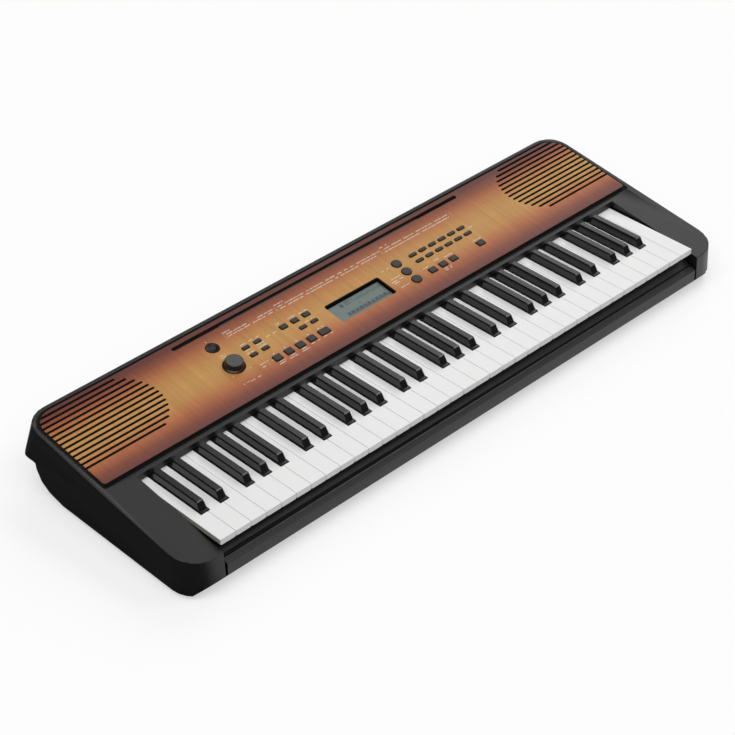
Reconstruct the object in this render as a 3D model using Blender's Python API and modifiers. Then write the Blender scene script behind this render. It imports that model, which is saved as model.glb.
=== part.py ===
"""Portable arranger keyboard: 61 keys, a sloping control panel with a display, and two speakers.

Frame: metres, +X to the player's right, +Y away from the player, +Z up. The origin lies on the
table, under the middle of the instrument.

Many pieces are placed in the key frame: behind(d) is d behind the front edge of the white keys,
and above(h) is h above their top faces. Pieces of the control panel are placed in the deck frame,
whose X is the part's X, whose Y runs up the slope from the front lip, and whose Z stands off the
sloping deck. The empty called deck holds that frame.
"""

import math

import bmesh
import bpy
from mathutils import Matrix

# Keys
OCTAVES = 5
KEY_PITCH = 0.0235
KEY_GAP = 0.0006
KEY_VISIBLE = 0.145
KEY_TAIL = 0.023
KEY_THICK = 0.008
KEY_TOP_Z = 0.068
KEY_DIP_DEG = 3.0
BLACK_FRONT = 0.0495
BLACK_RISE = 0.012
BLACK_WIDTH = 0.0124
BLACK_TOP_WIDTH = 0.0098
BLACK_SETBACK = 0.008
BLACK_LEAN = 0.0085
BLACK_CLEARANCE = 0.0010
BLACK_FOOT = 0.0015
BLACK_EDGE = 0.0018
BLACK_EDGE_DROP = 0.0014
BLACK_REAR_SLOPE = 0.003
PIVOT_SETBACK = 0.040
TONGUE_WIDTH = 0.008
TONGUE_THICK = 0.0025
FOOT_WIDTH = 0.010
FOOT_DEPTH = 0.006
LEVEL_GAP = 0.0005

# Case
SEAT = 0.0003
WALL = 0.0026
ARM_GAP = 0.003
ARM_WIDTH = 0.050
KEY_SETBACK = 0.010
FRONT_LEAN = 0.0016
REAR_FLARE = 0.0100
REAR_TAPER = 0.0025
CORNER_RADIUS = 0.038
REAR_CORNER_RADIUS = 0.0345
REAR_SKIRT_RADIUS = 0.010
CORNER_STEPS = 6
DECK_SLOPE_DEG = 8.4
DECK_LENGTH = 0.1606
LIP_HEIGHT = 0.01075
LIP_DROP = 0.0083
ARM_FRONT_HEIGHT = 0.0351
PART_LINE_DROP = 0.0002
PART_LINE_BEND = 0.035
PART_LINE_RISE = 0.0272
PART_LINE_END = 0.288
CASE_BOTTOM = 0.062
CASE_TUCK = 0.003
CASE_INSET = 0.0012
BELLY_FRONT = 0.0045
BELLY_REAR = 0.236

# Front rail
RAIL_SIDE_GAP = 0.0035
RAIL_TOP = 0.0275
RAIL_FACE_TOP = 0.0305
RAIL_FACE_BOTTOM = 0.0465
RAIL_SETBACK = 0.0004
RAIL_CHAMFER = 0.006
RAIL_LIP = 0.0014
RAIL_GROOVE = 0.0010
RAIL_RAMP_RISE = 0.006
RAIL_RAMP_LENGTH = 0.0151

# Key bed and contact board
BED_TOP = 0.0245
BED_THICK = 0.0025
BED_FRONT = 0.0135
BED_TAIL = 0.010
BED_SIDE_GAP = 0.002
RAIL_WIDTH = 0.0055
POST_SIZE = 0.012
BOARD_THICK = 0.0016
CONTACT_FRONT = 0.095
CONTACT_DEPTH = 0.040
RUBBER_FRONT = 0.105
RUBBER_DEPTH = 0.020
RUBBER_HEIGHT = 0.009

# Panel recess and panel
RECESS_DEPTH = 0.0023
RECESS_FLOOR = 0.0025
RECESS_FRONT = 0.0060
RECESS_LENGTH = 0.1492
RECESS_MARGIN = 0.0075
RECESS_CORNER = 0.0290
PANEL_PROUD = 0.002
PANEL_FRONT_GAP = 0.0057
PANEL_REAR_GAP = 0.0046
PANEL_SIDE_GAP = 0.0035
FRONT_CORNER = 0.004

# Speakers and their slots
SPEAKER_INSET = 0.095
SPEAKER_FLANGE = 0.052
SPEAKER_HOLE = 0.047
SPEAKER_DEPTH = 0.037
SLOT_COUNT = 13
SLOT_PITCH = 0.00826
SLOT_WIDTH = 0.0035
SLOT_CENTRE = 0.0947
GRILLE_RADIUS = 0.056

# Music rest slot
REST_LENGTH = 0.510
REST_WIDTH = 0.0057
REST_CENTRE = 0.14075
REST_DEEP = 0.0185
REST_POCKET_LENGTH = 0.076
REST_GROOVE_WIDTH = 0.0030
REST_WALL = 0.0045

# Controls, in the deck frame
ROW_FRONT = 0.0484
ROW_MIDDLE = 0.0711
ROW_REAR = 0.0870
BUTTON_RISE = 0.002
BUTTON_CLEARANCE = 0.0004
BUTTON_TRAVEL = 0.0015
CARRIER_THICK = 0.0015
CARRIER_MARGIN = 0.0026
WINDOW_MARGIN = 0.0006
SMALL_BUTTON = (0.0110, 0.0052)
MEDIUM_BUTTON = (0.0110, 0.0074)
LARGE_BUTTON = (0.0120, 0.0100)
WIDE_BUTTON = (0.0164, 0.0100)
SQUARE_BUTTON = (0.0120, 0.0092)
PILL_BUTTON = (0.0130, 0.0052)
ROUND_BUTTON = 0.0142
PAIR_PITCH = 0.0194
PAIR_LEFT = -0.1793
TRANSPORT_LEFT = -0.1598
TRANSPORT_PITCH = 0.0193
WIDE_X = -0.0800
SONG_LEFT = -0.1154
ROUND_X = 0.0870
ROUND_PITCH = 0.01925
PAD_LEFT = 0.1177
PAD_PITCH = 0.01838
PAD_COLUMNS = 6
PAD_ROW_PITCH = 0.0136
SQUARE_LEFT = 0.1175
SQUARE_PITCH = 0.0195
LAST_SQUARE_X = 0.2095
POWER_X = -0.2124
POWER_Y = 0.1126
POWER_DIAMETER = 0.0185
KNOB_X = -0.2131
KNOB_Y = 0.0708
KNOB_DIAMETER = 0.030
KNOB_TOP_DIAMETER = 0.0235
KNOB_HEIGHT = 0.010
SHAFT_DIAMETER = 0.006
ENCODER_SIZE = 0.013
ENCODER_HEIGHT = 0.0034

# Display
SCREEN_WIDTH = 0.0968
SCREEN_DEPTH = 0.0373
SCREEN_FRONT = 0.0464
SCREEN_CORNER = 0.003
SCREEN_SINK = 0.0035
MODULE_MARGIN = 0.003

# Boards inside
PANEL_BOARD_DROP = 0.0042
PANEL_BOARD_LEFT = -0.236
PANEL_BOARD_RIGHT = 0.230
PANEL_BOARD_FRONT = 0.036
PANEL_BOARD_DEPTH = 0.090
PANEL_POST = 0.006
MAIN_BOARD_WIDTH = 0.180
MAIN_BOARD_DEPTH = 0.036
MAIN_BOARD_LIFT = 0.005
STAND_SIZE = 0.008
STAND_INSET = 0.008
MAIN_BOARD_Y = 0.202

# Sockets in the rear wall
SOCKET_HEIGHT = -0.0015
SOCKET_BLOCK = 0.014
SOCKET_DEPTH = 0.024
BARREL_DIAMETER = 0.010
PHONES_BORE = 0.0066
PHONES_X = -0.275
PEDAL_X = -0.250
POWER_INLET_X = -0.302
POWER_INLET_BORE = 0.0064
POWER_PIN = 0.0020

# Battery bay and feet
BAY_WIDTH = 0.142
BAY_DEPTH = 0.058
BAY_HEIGHT = 0.0167
BAY_Y = 0.0775
BAY_WALL = 0.0025
COVER_LEDGE = 0.0045
COVER_THICK = 0.0025
COVER_GAP = 0.0005
FOOT_DIAMETER = 0.022
RUBBER_FOOT_INSET = 0.076
RUBBER_FOOT_FRONT = 0.045
RUBBER_FOOT_REAR = 0.222

# Values that follow from the ones above
WHITE_COUNT = 7 * OCTAVES + 1
KEY_BLOCK = WHITE_COUNT * KEY_PITCH
OPENING_HALF = KEY_BLOCK / 2 + ARM_GAP
CASE_HALF = OPENING_HALF + ARM_WIDTH
SLOPE = math.radians(DECK_SLOPE_DEG)
DECK_REAR = KEY_VISIBLE + DECK_LENGTH * math.cos(SLOPE)
CASE_DEPTH = KEY_SETBACK + DECK_REAR + REAR_FLARE
KEYS_Y = -CASE_DEPTH / 2 + KEY_SETBACK
RUBBER_FOOT_X = CASE_HALF - RUBBER_FOOT_INSET
PIVOT_Y = KEY_VISIBLE + PIVOT_SETBACK
KEY_BODY_END = KEY_VISIBLE + KEY_TAIL
RECESS_HALF = CASE_HALF - RECESS_MARGIN
PANEL_HALF = RECESS_HALF - PANEL_SIDE_GAP
PANEL_FRONT = RECESS_FRONT + PANEL_FRONT_GAP
PANEL_REAR = RECESS_FRONT + RECESS_LENGTH - PANEL_REAR_GAP
PANEL_CORNER = RECESS_CORNER - PANEL_SIDE_GAP
PANEL_UNDERSIDE = SEAT - RECESS_DEPTH
FLOOR_UNDERSIDE = -RECESS_DEPTH - RECESS_FLOOR
BOARD_TOP = FLOOR_UNDERSIDE - PANEL_BOARD_DROP
SPEAKER_X = PANEL_HALF - SPEAKER_INSET
BUTTON_TOP = PANEL_PROUD + BUTTON_RISE
CARRIER_TOP = FLOOR_UNDERSIDE - SEAT
CARRIER_BOTTOM = CARRIER_TOP - CARRIER_THICK

PARTS = None
HELPERS = None
DECK = None


def behind(distance):
    """Y of a point this far behind the front edge of the white keys."""
    return KEYS_Y + distance


def above(height):
    """Z of a point this far above the top faces of the white keys."""
    return KEY_TOP_Z + height


def clear_scene():
    """Empties the scene and makes the two collections and the deck's frame."""
    global PARTS, HELPERS, DECK
    for obj in list(bpy.data.objects):
        bpy.data.objects.remove(obj, do_unlink=True)
    PARTS = bpy.data.collections.new("arranger_keyboard")
    HELPERS = bpy.data.collections.new("cutters")
    for collection in (PARTS, HELPERS):
        bpy.context.scene.collection.children.link(collection)
    DECK = bpy.data.objects.new("deck", None)
    PARTS.objects.link(DECK)
    DECK.location = (0, behind(KEY_VISIBLE), above(LIP_HEIGHT))
    DECK.rotation_euler = (SLOPE, 0, 0)


def material(name, colour, roughness, metallic=0.0):
    """A plain Principled material."""
    made = bpy.data.materials.new(name)
    made.use_nodes = True
    shader = made.node_tree.nodes["Principled BSDF"]
    shader.inputs["Base Color"].default_value = (*colour, 1)
    shader.inputs["Roughness"].default_value = roughness
    shader.inputs["Metallic"].default_value = metallic
    return made


def solid(name, work, on_deck=False):
    """A helper object from a bmesh. finish() later turns the ones that are parts into parts."""
    bmesh.ops.recalc_face_normals(work, faces=work.faces)
    mesh = bpy.data.meshes.new(name)
    work.to_mesh(mesh)
    work.free()
    obj = bpy.data.objects.new(name, mesh)
    HELPERS.objects.link(obj)
    obj.hide_render = True
    obj.display_type = "WIRE"
    if on_deck:
        obj.parent = DECK
    return obj


def box(name, low, high, on_deck=False):
    """A box between two corners."""
    size = [b - a for a, b in zip(low, high)]
    middle = [(a + b) / 2 for a, b in zip(low, high)]
    work = bmesh.new()
    bmesh.ops.create_cube(work, size=1, matrix=Matrix.Translation(middle) @ Matrix.Diagonal((*size, 1)))
    return solid(name, work, on_deck)


def cylinder(name, radius, middle, low, high, steps=16, axis="Z", on_deck=False):
    """A round bar along Z or Y. middle holds its other two coordinates."""
    work = bmesh.new()
    bmesh.ops.create_cone(
        work, cap_ends=True, segments=steps, radius1=radius, radius2=radius, depth=high - low
    )
    centre = (low + high) / 2
    if axis == "Z":
        place = Matrix.Translation((*middle, centre))
    else:
        place = Matrix.Translation((middle[0], centre, middle[1])) @ Matrix.Rotation(math.pi / 2, 4, "X")
    bmesh.ops.transform(work, matrix=place, verts=work.verts)
    return solid(name, work, on_deck)


def outline_solid(name, points, low, high, across=False, on_deck=False):
    """A flat outline with a thickness: an XY outline from low to high in Z, or, across, a YZ outline in X."""
    curve = bpy.data.curves.new(name, "CURVE")
    curve.dimensions = "2D"
    curve.fill_mode = "BOTH"
    curve.extrude = (high - low) / 2
    line = curve.splines.new("POLY")
    line.points.add(len(points) - 1)
    for place, (u, v) in zip(line.points, points):
        place.co = (u, v, 0, 1)
    line.use_cyclic_u = True
    flat = bpy.data.objects.new(name, curve)
    HELPERS.objects.link(flat)
    mesh = bpy.data.meshes.new_from_object(flat)
    bpy.data.objects.remove(flat, do_unlink=True)
    work = bmesh.new()
    work.from_mesh(mesh)
    bpy.data.meshes.remove(mesh)
    bmesh.ops.remove_doubles(work, verts=work.verts, dist=1e-6)
    place = Matrix.Translation((0, 0, (low + high) / 2))
    if across:
        # The outline's own x, y and z become Y, Z and X.
        place = Matrix(((0, 0, 1, 0), (1, 0, 0, 0), (0, 1, 0, 0), (0, 0, 0, 1))) @ place
    bmesh.ops.transform(work, matrix=place, verts=work.verts)
    return solid(name, work, on_deck)


def loft(name, low_points, low, high_points, high):
    """A solid between two outlines with as many points, one above the other."""
    work = bmesh.new()
    base = [work.verts.new((x, y, low)) for x, y in low_points]
    lid = [work.verts.new((x, y, high)) for x, y in high_points]
    work.faces.new(base)
    work.faces.new(lid)
    for i, corner in enumerate(base):
        work.faces.new((base[i - 1], corner, lid[i], lid[i - 1]))
    return solid(name, work)


def turned(name, profile, steps, place, on_deck=False):
    """A turned solid: a profile of (radius, height) from the axis, out, down and back to the axis."""
    work = bmesh.new()
    corners = [work.verts.new((radius, 0, height)) for radius, height in profile]
    for first, second in zip(corners, corners[1:]):
        work.edges.new((first, second))
    mesh = bpy.data.meshes.new(name)
    work.to_mesh(mesh)
    work.free()
    obj = bpy.data.objects.new(name, mesh)
    HELPERS.objects.link(obj)
    screw = obj.modifiers.new("turn", "SCREW")
    screw.steps = screw.render_steps = steps
    screw.use_merge_vertices = True
    screw.merge_threshold = 1e-5
    screw.use_smooth_shade = False
    obj.location = place
    obj.hide_render = True
    obj.display_type = "WIRE"
    if on_deck:
        obj.parent = DECK
    return obj


def combine(target, operation, others):
    """Adds one Boolean for each of the others."""
    for other in others:
        step = target.modifiers.new(other.name, "BOOLEAN")
        step.operation = operation
        step.solver = "EXACT"
        step.object = other


def cut(target, *others):
    combine(target, "DIFFERENCE", others)


def join(target, *others):
    combine(target, "UNION", others)


def finish(obj, surface, origin=None):
    """Makes a helper a part of the instrument: its material, its origin and its collection."""
    obj.data.materials.append(surface)
    if origin is not None:
        obj.data.transform(Matrix.Translation([-value for value in origin]))
        obj.location = origin
    HELPERS.objects.unlink(obj)
    PARTS.objects.link(obj)
    obj.hide_render = False
    obj.display_type = "TEXTURED"
    return obj


def arc(centre, radius, start, end, steps):
    """Points on an arc, angles in degrees."""
    turns = [math.radians(start + (end - start) * i / steps) for i in range(steps + 1)]
    return [(centre[0] + radius * math.cos(t), centre[1] + radius * math.sin(t)) for t in turns]


def rounded(front_half, rear_half, front, rear, front_radius, rear_radius, steps=CORNER_STEPS):
    """An outline about the plane x = 0, with rounded corners, anticlockwise from its front right."""
    f, r = front_radius, rear_radius
    return (
        arc((front_half - f, front + f), f, -90, 0, steps)
        + arc((rear_half - r, rear - r), r, 0, 90, steps)
        + arc((r - rear_half, rear - r), r, 90, 180, steps)
        + arc((f - front_half, front + f), f, 180, 270, steps)
    )


def rectangle(x, y, width, depth):
    """Low and high corners of a rectangle about a point."""
    return (x - width / 2, y - depth / 2), (x + width / 2, y + depth / 2)


def deck_height(distance, height=0.0):
    """Height over the white keys of the deck plane, or a plane this far off it, at a distance behind them."""
    return LIP_HEIGHT + (distance - KEY_VISIBLE) * math.tan(SLOPE) + height / math.cos(SLOPE)


def part_line(distance):
    """Height over the white keys of the line where the upper case meets the lower."""
    front = deck_height(FRONT_LEAN - KEY_SETBACK) - ARM_FRONT_HEIGHT
    low = front - PART_LINE_DROP
    if distance < PART_LINE_BEND:
        share = (distance + KEY_SETBACK) / (PART_LINE_BEND + KEY_SETBACK)
        return front + (low - front) * share
    share = (distance - PART_LINE_BEND) / (PART_LINE_END - PART_LINE_BEND)
    return low + PART_LINE_RISE * share


def case_plan(inset):
    """The upper case's outlines at its low and high levels, drawn in by inset, and those levels."""
    low, high = -0.052, deck_height(DECK_REAR) + 0.002
    lean = FRONT_LEAN / ARM_FRONT_HEIGHT
    front_low = -KEY_SETBACK + lean * (low - part_line(-KEY_SETBACK))
    front_high = -KEY_SETBACK + lean * (high - part_line(-KEY_SETBACK))
    flare = REAR_FLARE / (deck_height(DECK_REAR) + 0.013)
    rear_low = DECK_REAR + flare * (deck_height(DECK_REAR) - low)
    rear_high = DECK_REAR + flare * (deck_height(DECK_REAR) - high)
    wide, narrow = CASE_HALF - inset, CASE_HALF - REAR_TAPER - inset
    corner, skirt = CORNER_RADIUS - inset, REAR_SKIRT_RADIUS - inset
    rear_corner = REAR_CORNER_RADIUS - inset
    low_plan = rounded(wide, wide, behind(front_low + inset), behind(rear_low - inset), corner, skirt)
    high_plan = rounded(wide, narrow, behind(front_high + inset), behind(rear_high - inset), corner, rear_corner)
    return low_plan, above(low), high_plan, above(high)


def case_block(name, profile, inset):
    """A side profile across the whole width, cut to the case's plan."""
    reach = CASE_HALF + 0.05
    block = outline_solid(name, profile, -reach, reach, across=True)
    plan = loft(name + "_plan", *case_plan(inset))
    combine(block, "INTERSECT", [plan])
    return block


def key_frame(points):
    return [(behind(y), above(z)) for y, z in points]


def upper_case(plastic):
    """The moulded top shell: deck, side walls, two arms beside the keys and the lip over their tails."""
    bulge_low = (PART_LINE_END + 0.0177, part_line(PART_LINE_END) - 0.0008)
    bulge_mid = (PART_LINE_END + 0.0240, part_line(PART_LINE_END) + 0.0027)
    bulge_high = (PART_LINE_END + 0.0255, part_line(PART_LINE_END) + 0.0085)
    front, rear = -0.03, DECK_REAR + 0.02
    shell = case_block(
        "upper_case",
        key_frame(
            [
                (front, deck_height(front)),
                (front, part_line(-KEY_SETBACK)),
                (-KEY_SETBACK, part_line(-KEY_SETBACK)),
                (PART_LINE_BEND, part_line(PART_LINE_BEND)),
                (PART_LINE_END, part_line(PART_LINE_END)),
                bulge_low,
                bulge_mid,
                bulge_high,
                (rear, bulge_high[1]),
                (rear, deck_height(rear)),
            ]
        ),
        0,
    )
    low = -CASE_BOTTOM - 0.01
    step = KEY_VISIBLE + WALL
    hollow = case_block(
        "upper_hollow",
        key_frame(
            [
                (front, deck_height(front, -WALL)),
                (front, low),
                (PART_LINE_END - WALL, low),
                (PART_LINE_END - WALL, part_line(PART_LINE_END) + 0.0016),
                (bulge_low[0], bulge_low[1] + WALL),
                (bulge_mid[0] - WALL, bulge_mid[1] + WALL),
                (bulge_high[0], bulge_high[1] + WALL),
                (rear, bulge_high[1] + WALL),
                (rear, deck_height(rear, FLOOR_UNDERSIDE)),
                (step, deck_height(step, FLOOR_UNDERSIDE)),
                (step, deck_height(step, -WALL)),
            ]
        ),
        WALL,
    )
    block_half = OPENING_HALF + WALL
    keep = box("arm_walls", (-block_half, behind(-0.05), above(-0.1)), (block_half, behind(step), above(0.1)))
    cut(hollow, keep)
    opening = box(
        "key_opening",
        (-OPENING_HALF, behind(-0.05), above(-0.1)),
        (OPENING_HALF, behind(KEY_VISIBLE), above(0.1)),
    )
    under_lip = box(
        "under_lip",
        (-OPENING_HALF, behind(KEY_VISIBLE - 0.01), above(-0.1)),
        (OPENING_HALF, behind(step + 0.005), above(LIP_HEIGHT - LIP_DROP)),
    )
    recess_rear = RECESS_FRONT + RECESS_LENGTH
    recess = outline_solid(
        "panel_recess",
        rounded(RECESS_HALF, RECESS_HALF, RECESS_FRONT, recess_rear, FRONT_CORNER, RECESS_CORNER),
        -RECESS_DEPTH,
        0.02,
        on_deck=True,
    )
    trough = box(
        "rest_trough",
        (-REST_LENGTH / 2 - REST_WALL, REST_CENTRE - REST_WIDTH / 2 - REST_WALL, -REST_DEEP - WALL),
        (REST_LENGTH / 2 + REST_WALL, REST_CENTRE + REST_WIDTH / 2 + REST_WALL, FLOOR_UNDERSIDE + 0.0012),
        on_deck=True,
    )
    cut(shell, hollow)
    join(shell, trough, *board_posts())
    cut(shell, opening, under_lip, recess, rest_pocket(), *floor_windows(), *socket_holes())
    return finish(shell, plastic)


def board_posts():
    """Four short posts under the deck that carry the panel board."""
    posts = []
    for x in (PANEL_BOARD_LEFT + PANEL_POST, PANEL_BOARD_RIGHT - PANEL_POST):
        for y in (PANEL_BOARD_FRONT + PANEL_POST, PANEL_BOARD_FRONT + PANEL_BOARD_DEPTH - PANEL_POST):
            low, high = rectangle(x, y, PANEL_POST, PANEL_POST)
            posts.append(
                box("board_post", (*low, BOARD_TOP + SEAT), (*high, FLOOR_UNDERSIDE + 0.001), on_deck=True)
            )
    return posts


def rest_pocket():
    """The slot that holds a music rest: a wide pocket at each end and a narrow groove between them."""
    half, inner = REST_LENGTH / 2, REST_LENGTH / 2 - REST_POCKET_LENGTH
    front, rear = REST_CENTRE - REST_WIDTH / 2, REST_CENTRE + REST_WIDTH / 2
    ledge = rear - REST_GROOVE_WIDTH
    outline = [
        (-half, front),
        (-inner, front),
        (-inner, ledge),
        (inner, ledge),
        (inner, front),
        (half, front),
        (half, rear),
        (-half, rear),
    ]
    return outline_solid("rest_pocket", outline, -REST_DEEP, 0.01, on_deck=True)


def button_groups():
    """Each moulded button strip: its name and its buttons as (x, y, width, depth, shape)."""
    pair = [
        (PAIR_LEFT + column * PAIR_PITCH, y, *SMALL_BUTTON, "square")
        for column in range(2)
        for y in (ROW_MIDDLE, ROW_REAR)
    ]
    transport = [
        (TRANSPORT_LEFT + column * TRANSPORT_PITCH, ROW_FRONT, *LARGE_BUTTON, "square") for column in range(4)
    ]
    transport.append((WIDE_X, ROW_FRONT, *WIDE_BUTTON, "square"))
    song = [(SONG_LEFT + column * PAIR_PITCH, ROW_REAR, *MEDIUM_BUTTON, "square") for column in range(3)]
    song += [(SONG_LEFT + column * PAIR_PITCH, ROW_MIDDLE, *SMALL_BUTTON, "square") for column in (1, 2)]
    category = [
        (ROUND_X, ROW_FRONT + row * ROUND_PITCH, ROUND_BUTTON, ROUND_BUTTON, "round") for row in range(3)
    ]
    pad = [
        (PAD_LEFT + column * PAD_PITCH, ROW_REAR - row * PAD_ROW_PITCH, *PILL_BUTTON, "pill")
        for row in range(2)
        for column in range(PAD_COLUMNS)
    ]
    right = [(SQUARE_LEFT + column * SQUARE_PITCH, ROW_FRONT, *SQUARE_BUTTON, "square") for column in range(3)]
    right.append((LAST_SQUARE_X, ROW_FRONT, *SQUARE_BUTTON, "square"))
    return {
        "function_buttons": pair,
        "transport_buttons": transport,
        "song_buttons": song,
        "category_buttons": category,
        "number_buttons": pad,
        "mode_buttons": right,
    }


def button_outline(x, y, width, depth, shape, grow=0.0):
    """The plan of one button cap, or of the hole for it."""
    w, d = width / 2 + grow, depth / 2 + grow
    if shape == "round":
        return arc((x, y), w, 0, 360, 16)[:-1]
    if shape == "pill":
        return arc((x + w - d, y), d, -90, 90, 4) + arc((x - w + d, y), d, 90, 270, 4)
    return [(x - w, y - d), (x + w, y - d), (x + w, y + d), (x - w, y + d)]


def group_bounds(buttons, margin):
    """Corners of the rectangle round a group of buttons."""
    low = [min(b[axis] - b[axis + 2] / 2 for b in buttons) - margin for axis in (0, 1)]
    high = [max(b[axis] + b[axis + 2] / 2 for b in buttons) + margin for axis in (0, 1)]
    return low, high


def floor_windows():
    """Windows in the floor under the panel, for the buttons, the display, the speakers and the knob."""
    cutters = []
    top, bottom = 0.01, FLOOR_UNDERSIDE - 0.01
    for name, buttons in button_groups().items():
        low, high = group_bounds(buttons, WINDOW_MARGIN)
        cutters.append(box(name + "_window", (*low, bottom), (*high, top), on_deck=True))
    low, high = screen_bounds(MODULE_MARGIN + 0.001)
    cutters.append(box("display_window", (*low, bottom), (*high, top), on_deck=True))
    for side in (-1, 1):
        centre = (side * SPEAKER_X, SLOT_CENTRE)
        cutters.append(cylinder("speaker_window", SPEAKER_HOLE, centre, bottom, top, 24, on_deck=True))
    cutters.append(
        cylinder("knob_window", SHAFT_DIAMETER / 2 + 0.002, (KNOB_X, KNOB_Y), bottom, top, on_deck=True)
    )
    radius = POWER_DIAMETER / 2 + BUTTON_CLEARANCE
    cutters.append(cylinder("power_window", radius, (POWER_X, POWER_Y), bottom, top, on_deck=True))
    return cutters


def screen_bounds(margin):
    """Corners of the display's opening, with a margin."""
    low = (-SCREEN_WIDTH / 2 - margin, SCREEN_FRONT - margin)
    high = (SCREEN_WIDTH / 2 + margin, SCREEN_FRONT + SCREEN_DEPTH + margin)
    return low, high


def top_panel(plastic):
    """The decorated panel, slotted over the speakers, with holes for all the controls."""
    panel = outline_solid(
        "top_panel",
        rounded(PANEL_HALF, PANEL_HALF, PANEL_FRONT, PANEL_REAR, FRONT_CORNER, PANEL_CORNER),
        PANEL_UNDERSIDE,
        PANEL_PROUD,
        on_deck=True,
    )
    low, high = PANEL_UNDERSIDE - 0.002, PANEL_PROUD + 0.002
    cutters = []
    for buttons in button_groups().values():
        for x, y, width, depth, shape in buttons:
            outline = button_outline(x, y, width, depth, shape, BUTTON_CLEARANCE)
            cutters.append(outline_solid("button_hole", outline, low, high, on_deck=True))
    for side in (-1, 1):
        for number in range(SLOT_COUNT):
            offset = (number - (SLOT_COUNT - 1) / 2) * SLOT_PITCH
            y = SLOT_CENTRE + offset
            inner = SPEAKER_X - math.sqrt(GRILLE_RADIUS**2 - offset**2)
            half = SLOT_WIDTH / 2
            outline = arc((side * (inner + half), y), half, 180 - 90 * side, 180 + 90 * side, 4)
            reach = side * (PANEL_HALF + 0.01)
            outline += [(reach, outline[-1][1]), (reach, outline[0][1])]
            cutters.append(outline_solid("grille_slot", outline, low, high, on_deck=True))
    half = REST_LENGTH / 2
    radius = REST_WIDTH / 2
    slot = arc((half - radius, REST_CENTRE), radius, -90, 90, 4)
    slot += arc((radius - half, REST_CENTRE), radius, 90, 270, 4)
    cutters.append(outline_solid("rest_slot", slot, low, high, on_deck=True))
    half, rear = SCREEN_WIDTH / 2, SCREEN_FRONT + SCREEN_DEPTH
    screen = rounded(half, half, SCREEN_FRONT, rear, SCREEN_CORNER, SCREEN_CORNER, 3)
    cutters.append(outline_solid("screen_opening", screen, low, high, on_deck=True))
    radius = SHAFT_DIAMETER / 2 + 0.001
    cutters.append(cylinder("knob_hole", radius, (KNOB_X, KNOB_Y), low, high, on_deck=True))
    radius = POWER_DIAMETER / 2 + BUTTON_CLEARANCE
    cutters.append(cylinder("power_hole", radius, (POWER_X, POWER_Y), low, high, 24, on_deck=True))
    holes = bpy.data.collections.new("panel_holes")
    HELPERS.children.link(holes)
    for cutter in cutters:
        HELPERS.objects.unlink(cutter)
        holes.objects.link(cutter)
    step = panel.modifiers.new("holes", "BOOLEAN")
    step.operand_type = "COLLECTION"
    step.collection = holes
    step.solver = "EXACT"
    return finish(panel, plastic)


def buttons(rubber):
    """Each strip of buttons: a carrier under the deck with its caps standing through the panel."""
    for name, caps in button_groups().items():
        low, high = group_bounds(caps, CARRIER_MARGIN)
        strip = box(name, (*low, CARRIER_BOTTOM), (*high, CARRIER_TOP), on_deck=True)
        for x, y, width, depth, shape in caps:
            outline = button_outline(x, y, width, depth, shape)
            cap = outline_solid("cap", outline, CARRIER_TOP - CARRIER_THICK / 2, BUTTON_TOP, on_deck=True)
            join(strip, cap)
        middle = [(a + b) / 2 for a, b in zip(low, high)]
        finish(strip, rubber, (*middle, CARRIER_TOP))


def power_button(plastic):
    """The round power button, dished on top, with a flange under the deck."""
    radius = POWER_DIAMETER / 2
    top = PANEL_PROUD + 0.0006
    flange = radius + CARRIER_MARGIN
    button = turned(
        "power_button",
        [
            (0, top - 0.0014),
            (radius * 0.55, top - 0.0011),
            (radius * 0.88, top),
            (radius - 0.0003, top),
            (radius, top - 0.0004),
            (radius, CARRIER_TOP),
            (flange, CARRIER_TOP),
            (flange, CARRIER_BOTTOM),
            (0, CARRIER_BOTTOM),
        ],
        24,
        (POWER_X, POWER_Y, 0),
        on_deck=True,
    )
    return finish(button, plastic)


def volume_knob(plastic):
    """The volume knob, wider at its skirt, on a shaft that drops into the encoder on the board."""
    base = PANEL_PROUD + 0.0005
    top = PANEL_PROUD + KNOB_HEIGHT
    rim, skirt, shaft = KNOB_TOP_DIAMETER / 2, KNOB_DIAMETER / 2, SHAFT_DIAMETER / 2
    shaft_end = BOARD_TOP + ENCODER_HEIGHT + SEAT
    knob = turned(
        "volume_knob",
        [
            (0, top),
            (rim - 0.0006, top),
            (rim, top - 0.0006),
            (rim + (skirt - rim) * 0.3, base + 0.0050),
            (skirt - 0.0004, base + 0.0016),
            (skirt, base + 0.0008),
            (skirt, base),
            (shaft, base),
            (shaft, shaft_end),
            (0, shaft_end),
        ],
        24,
        (KNOB_X, KNOB_Y, 0),
        on_deck=True,
    )
    return finish(knob, plastic)


def display_module(glass):
    """The liquid crystal display, standing on the panel board behind its opening."""
    low, high = screen_bounds(MODULE_MARGIN)
    return finish(box("display_module", (*low, BOARD_TOP + SEAT), (*high, -SCREEN_SINK), on_deck=True), glass)


def panel_board(board):
    """The switch board that hangs from the deck's posts, with the knob's encoder on it."""
    plate = box(
        "panel_board",
        (PANEL_BOARD_LEFT, PANEL_BOARD_FRONT, BOARD_TOP - BOARD_THICK),
        (PANEL_BOARD_RIGHT, PANEL_BOARD_FRONT + PANEL_BOARD_DEPTH, BOARD_TOP),
        on_deck=True,
    )
    low, high = rectangle(KNOB_X, KNOB_Y, ENCODER_SIZE, ENCODER_SIZE)
    encoder = box("encoder", (*low, BOARD_TOP - 0.001), (*high, BOARD_TOP + ENCODER_HEIGHT), on_deck=True)
    join(plate, encoder)
    return finish(plate, board)


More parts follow.
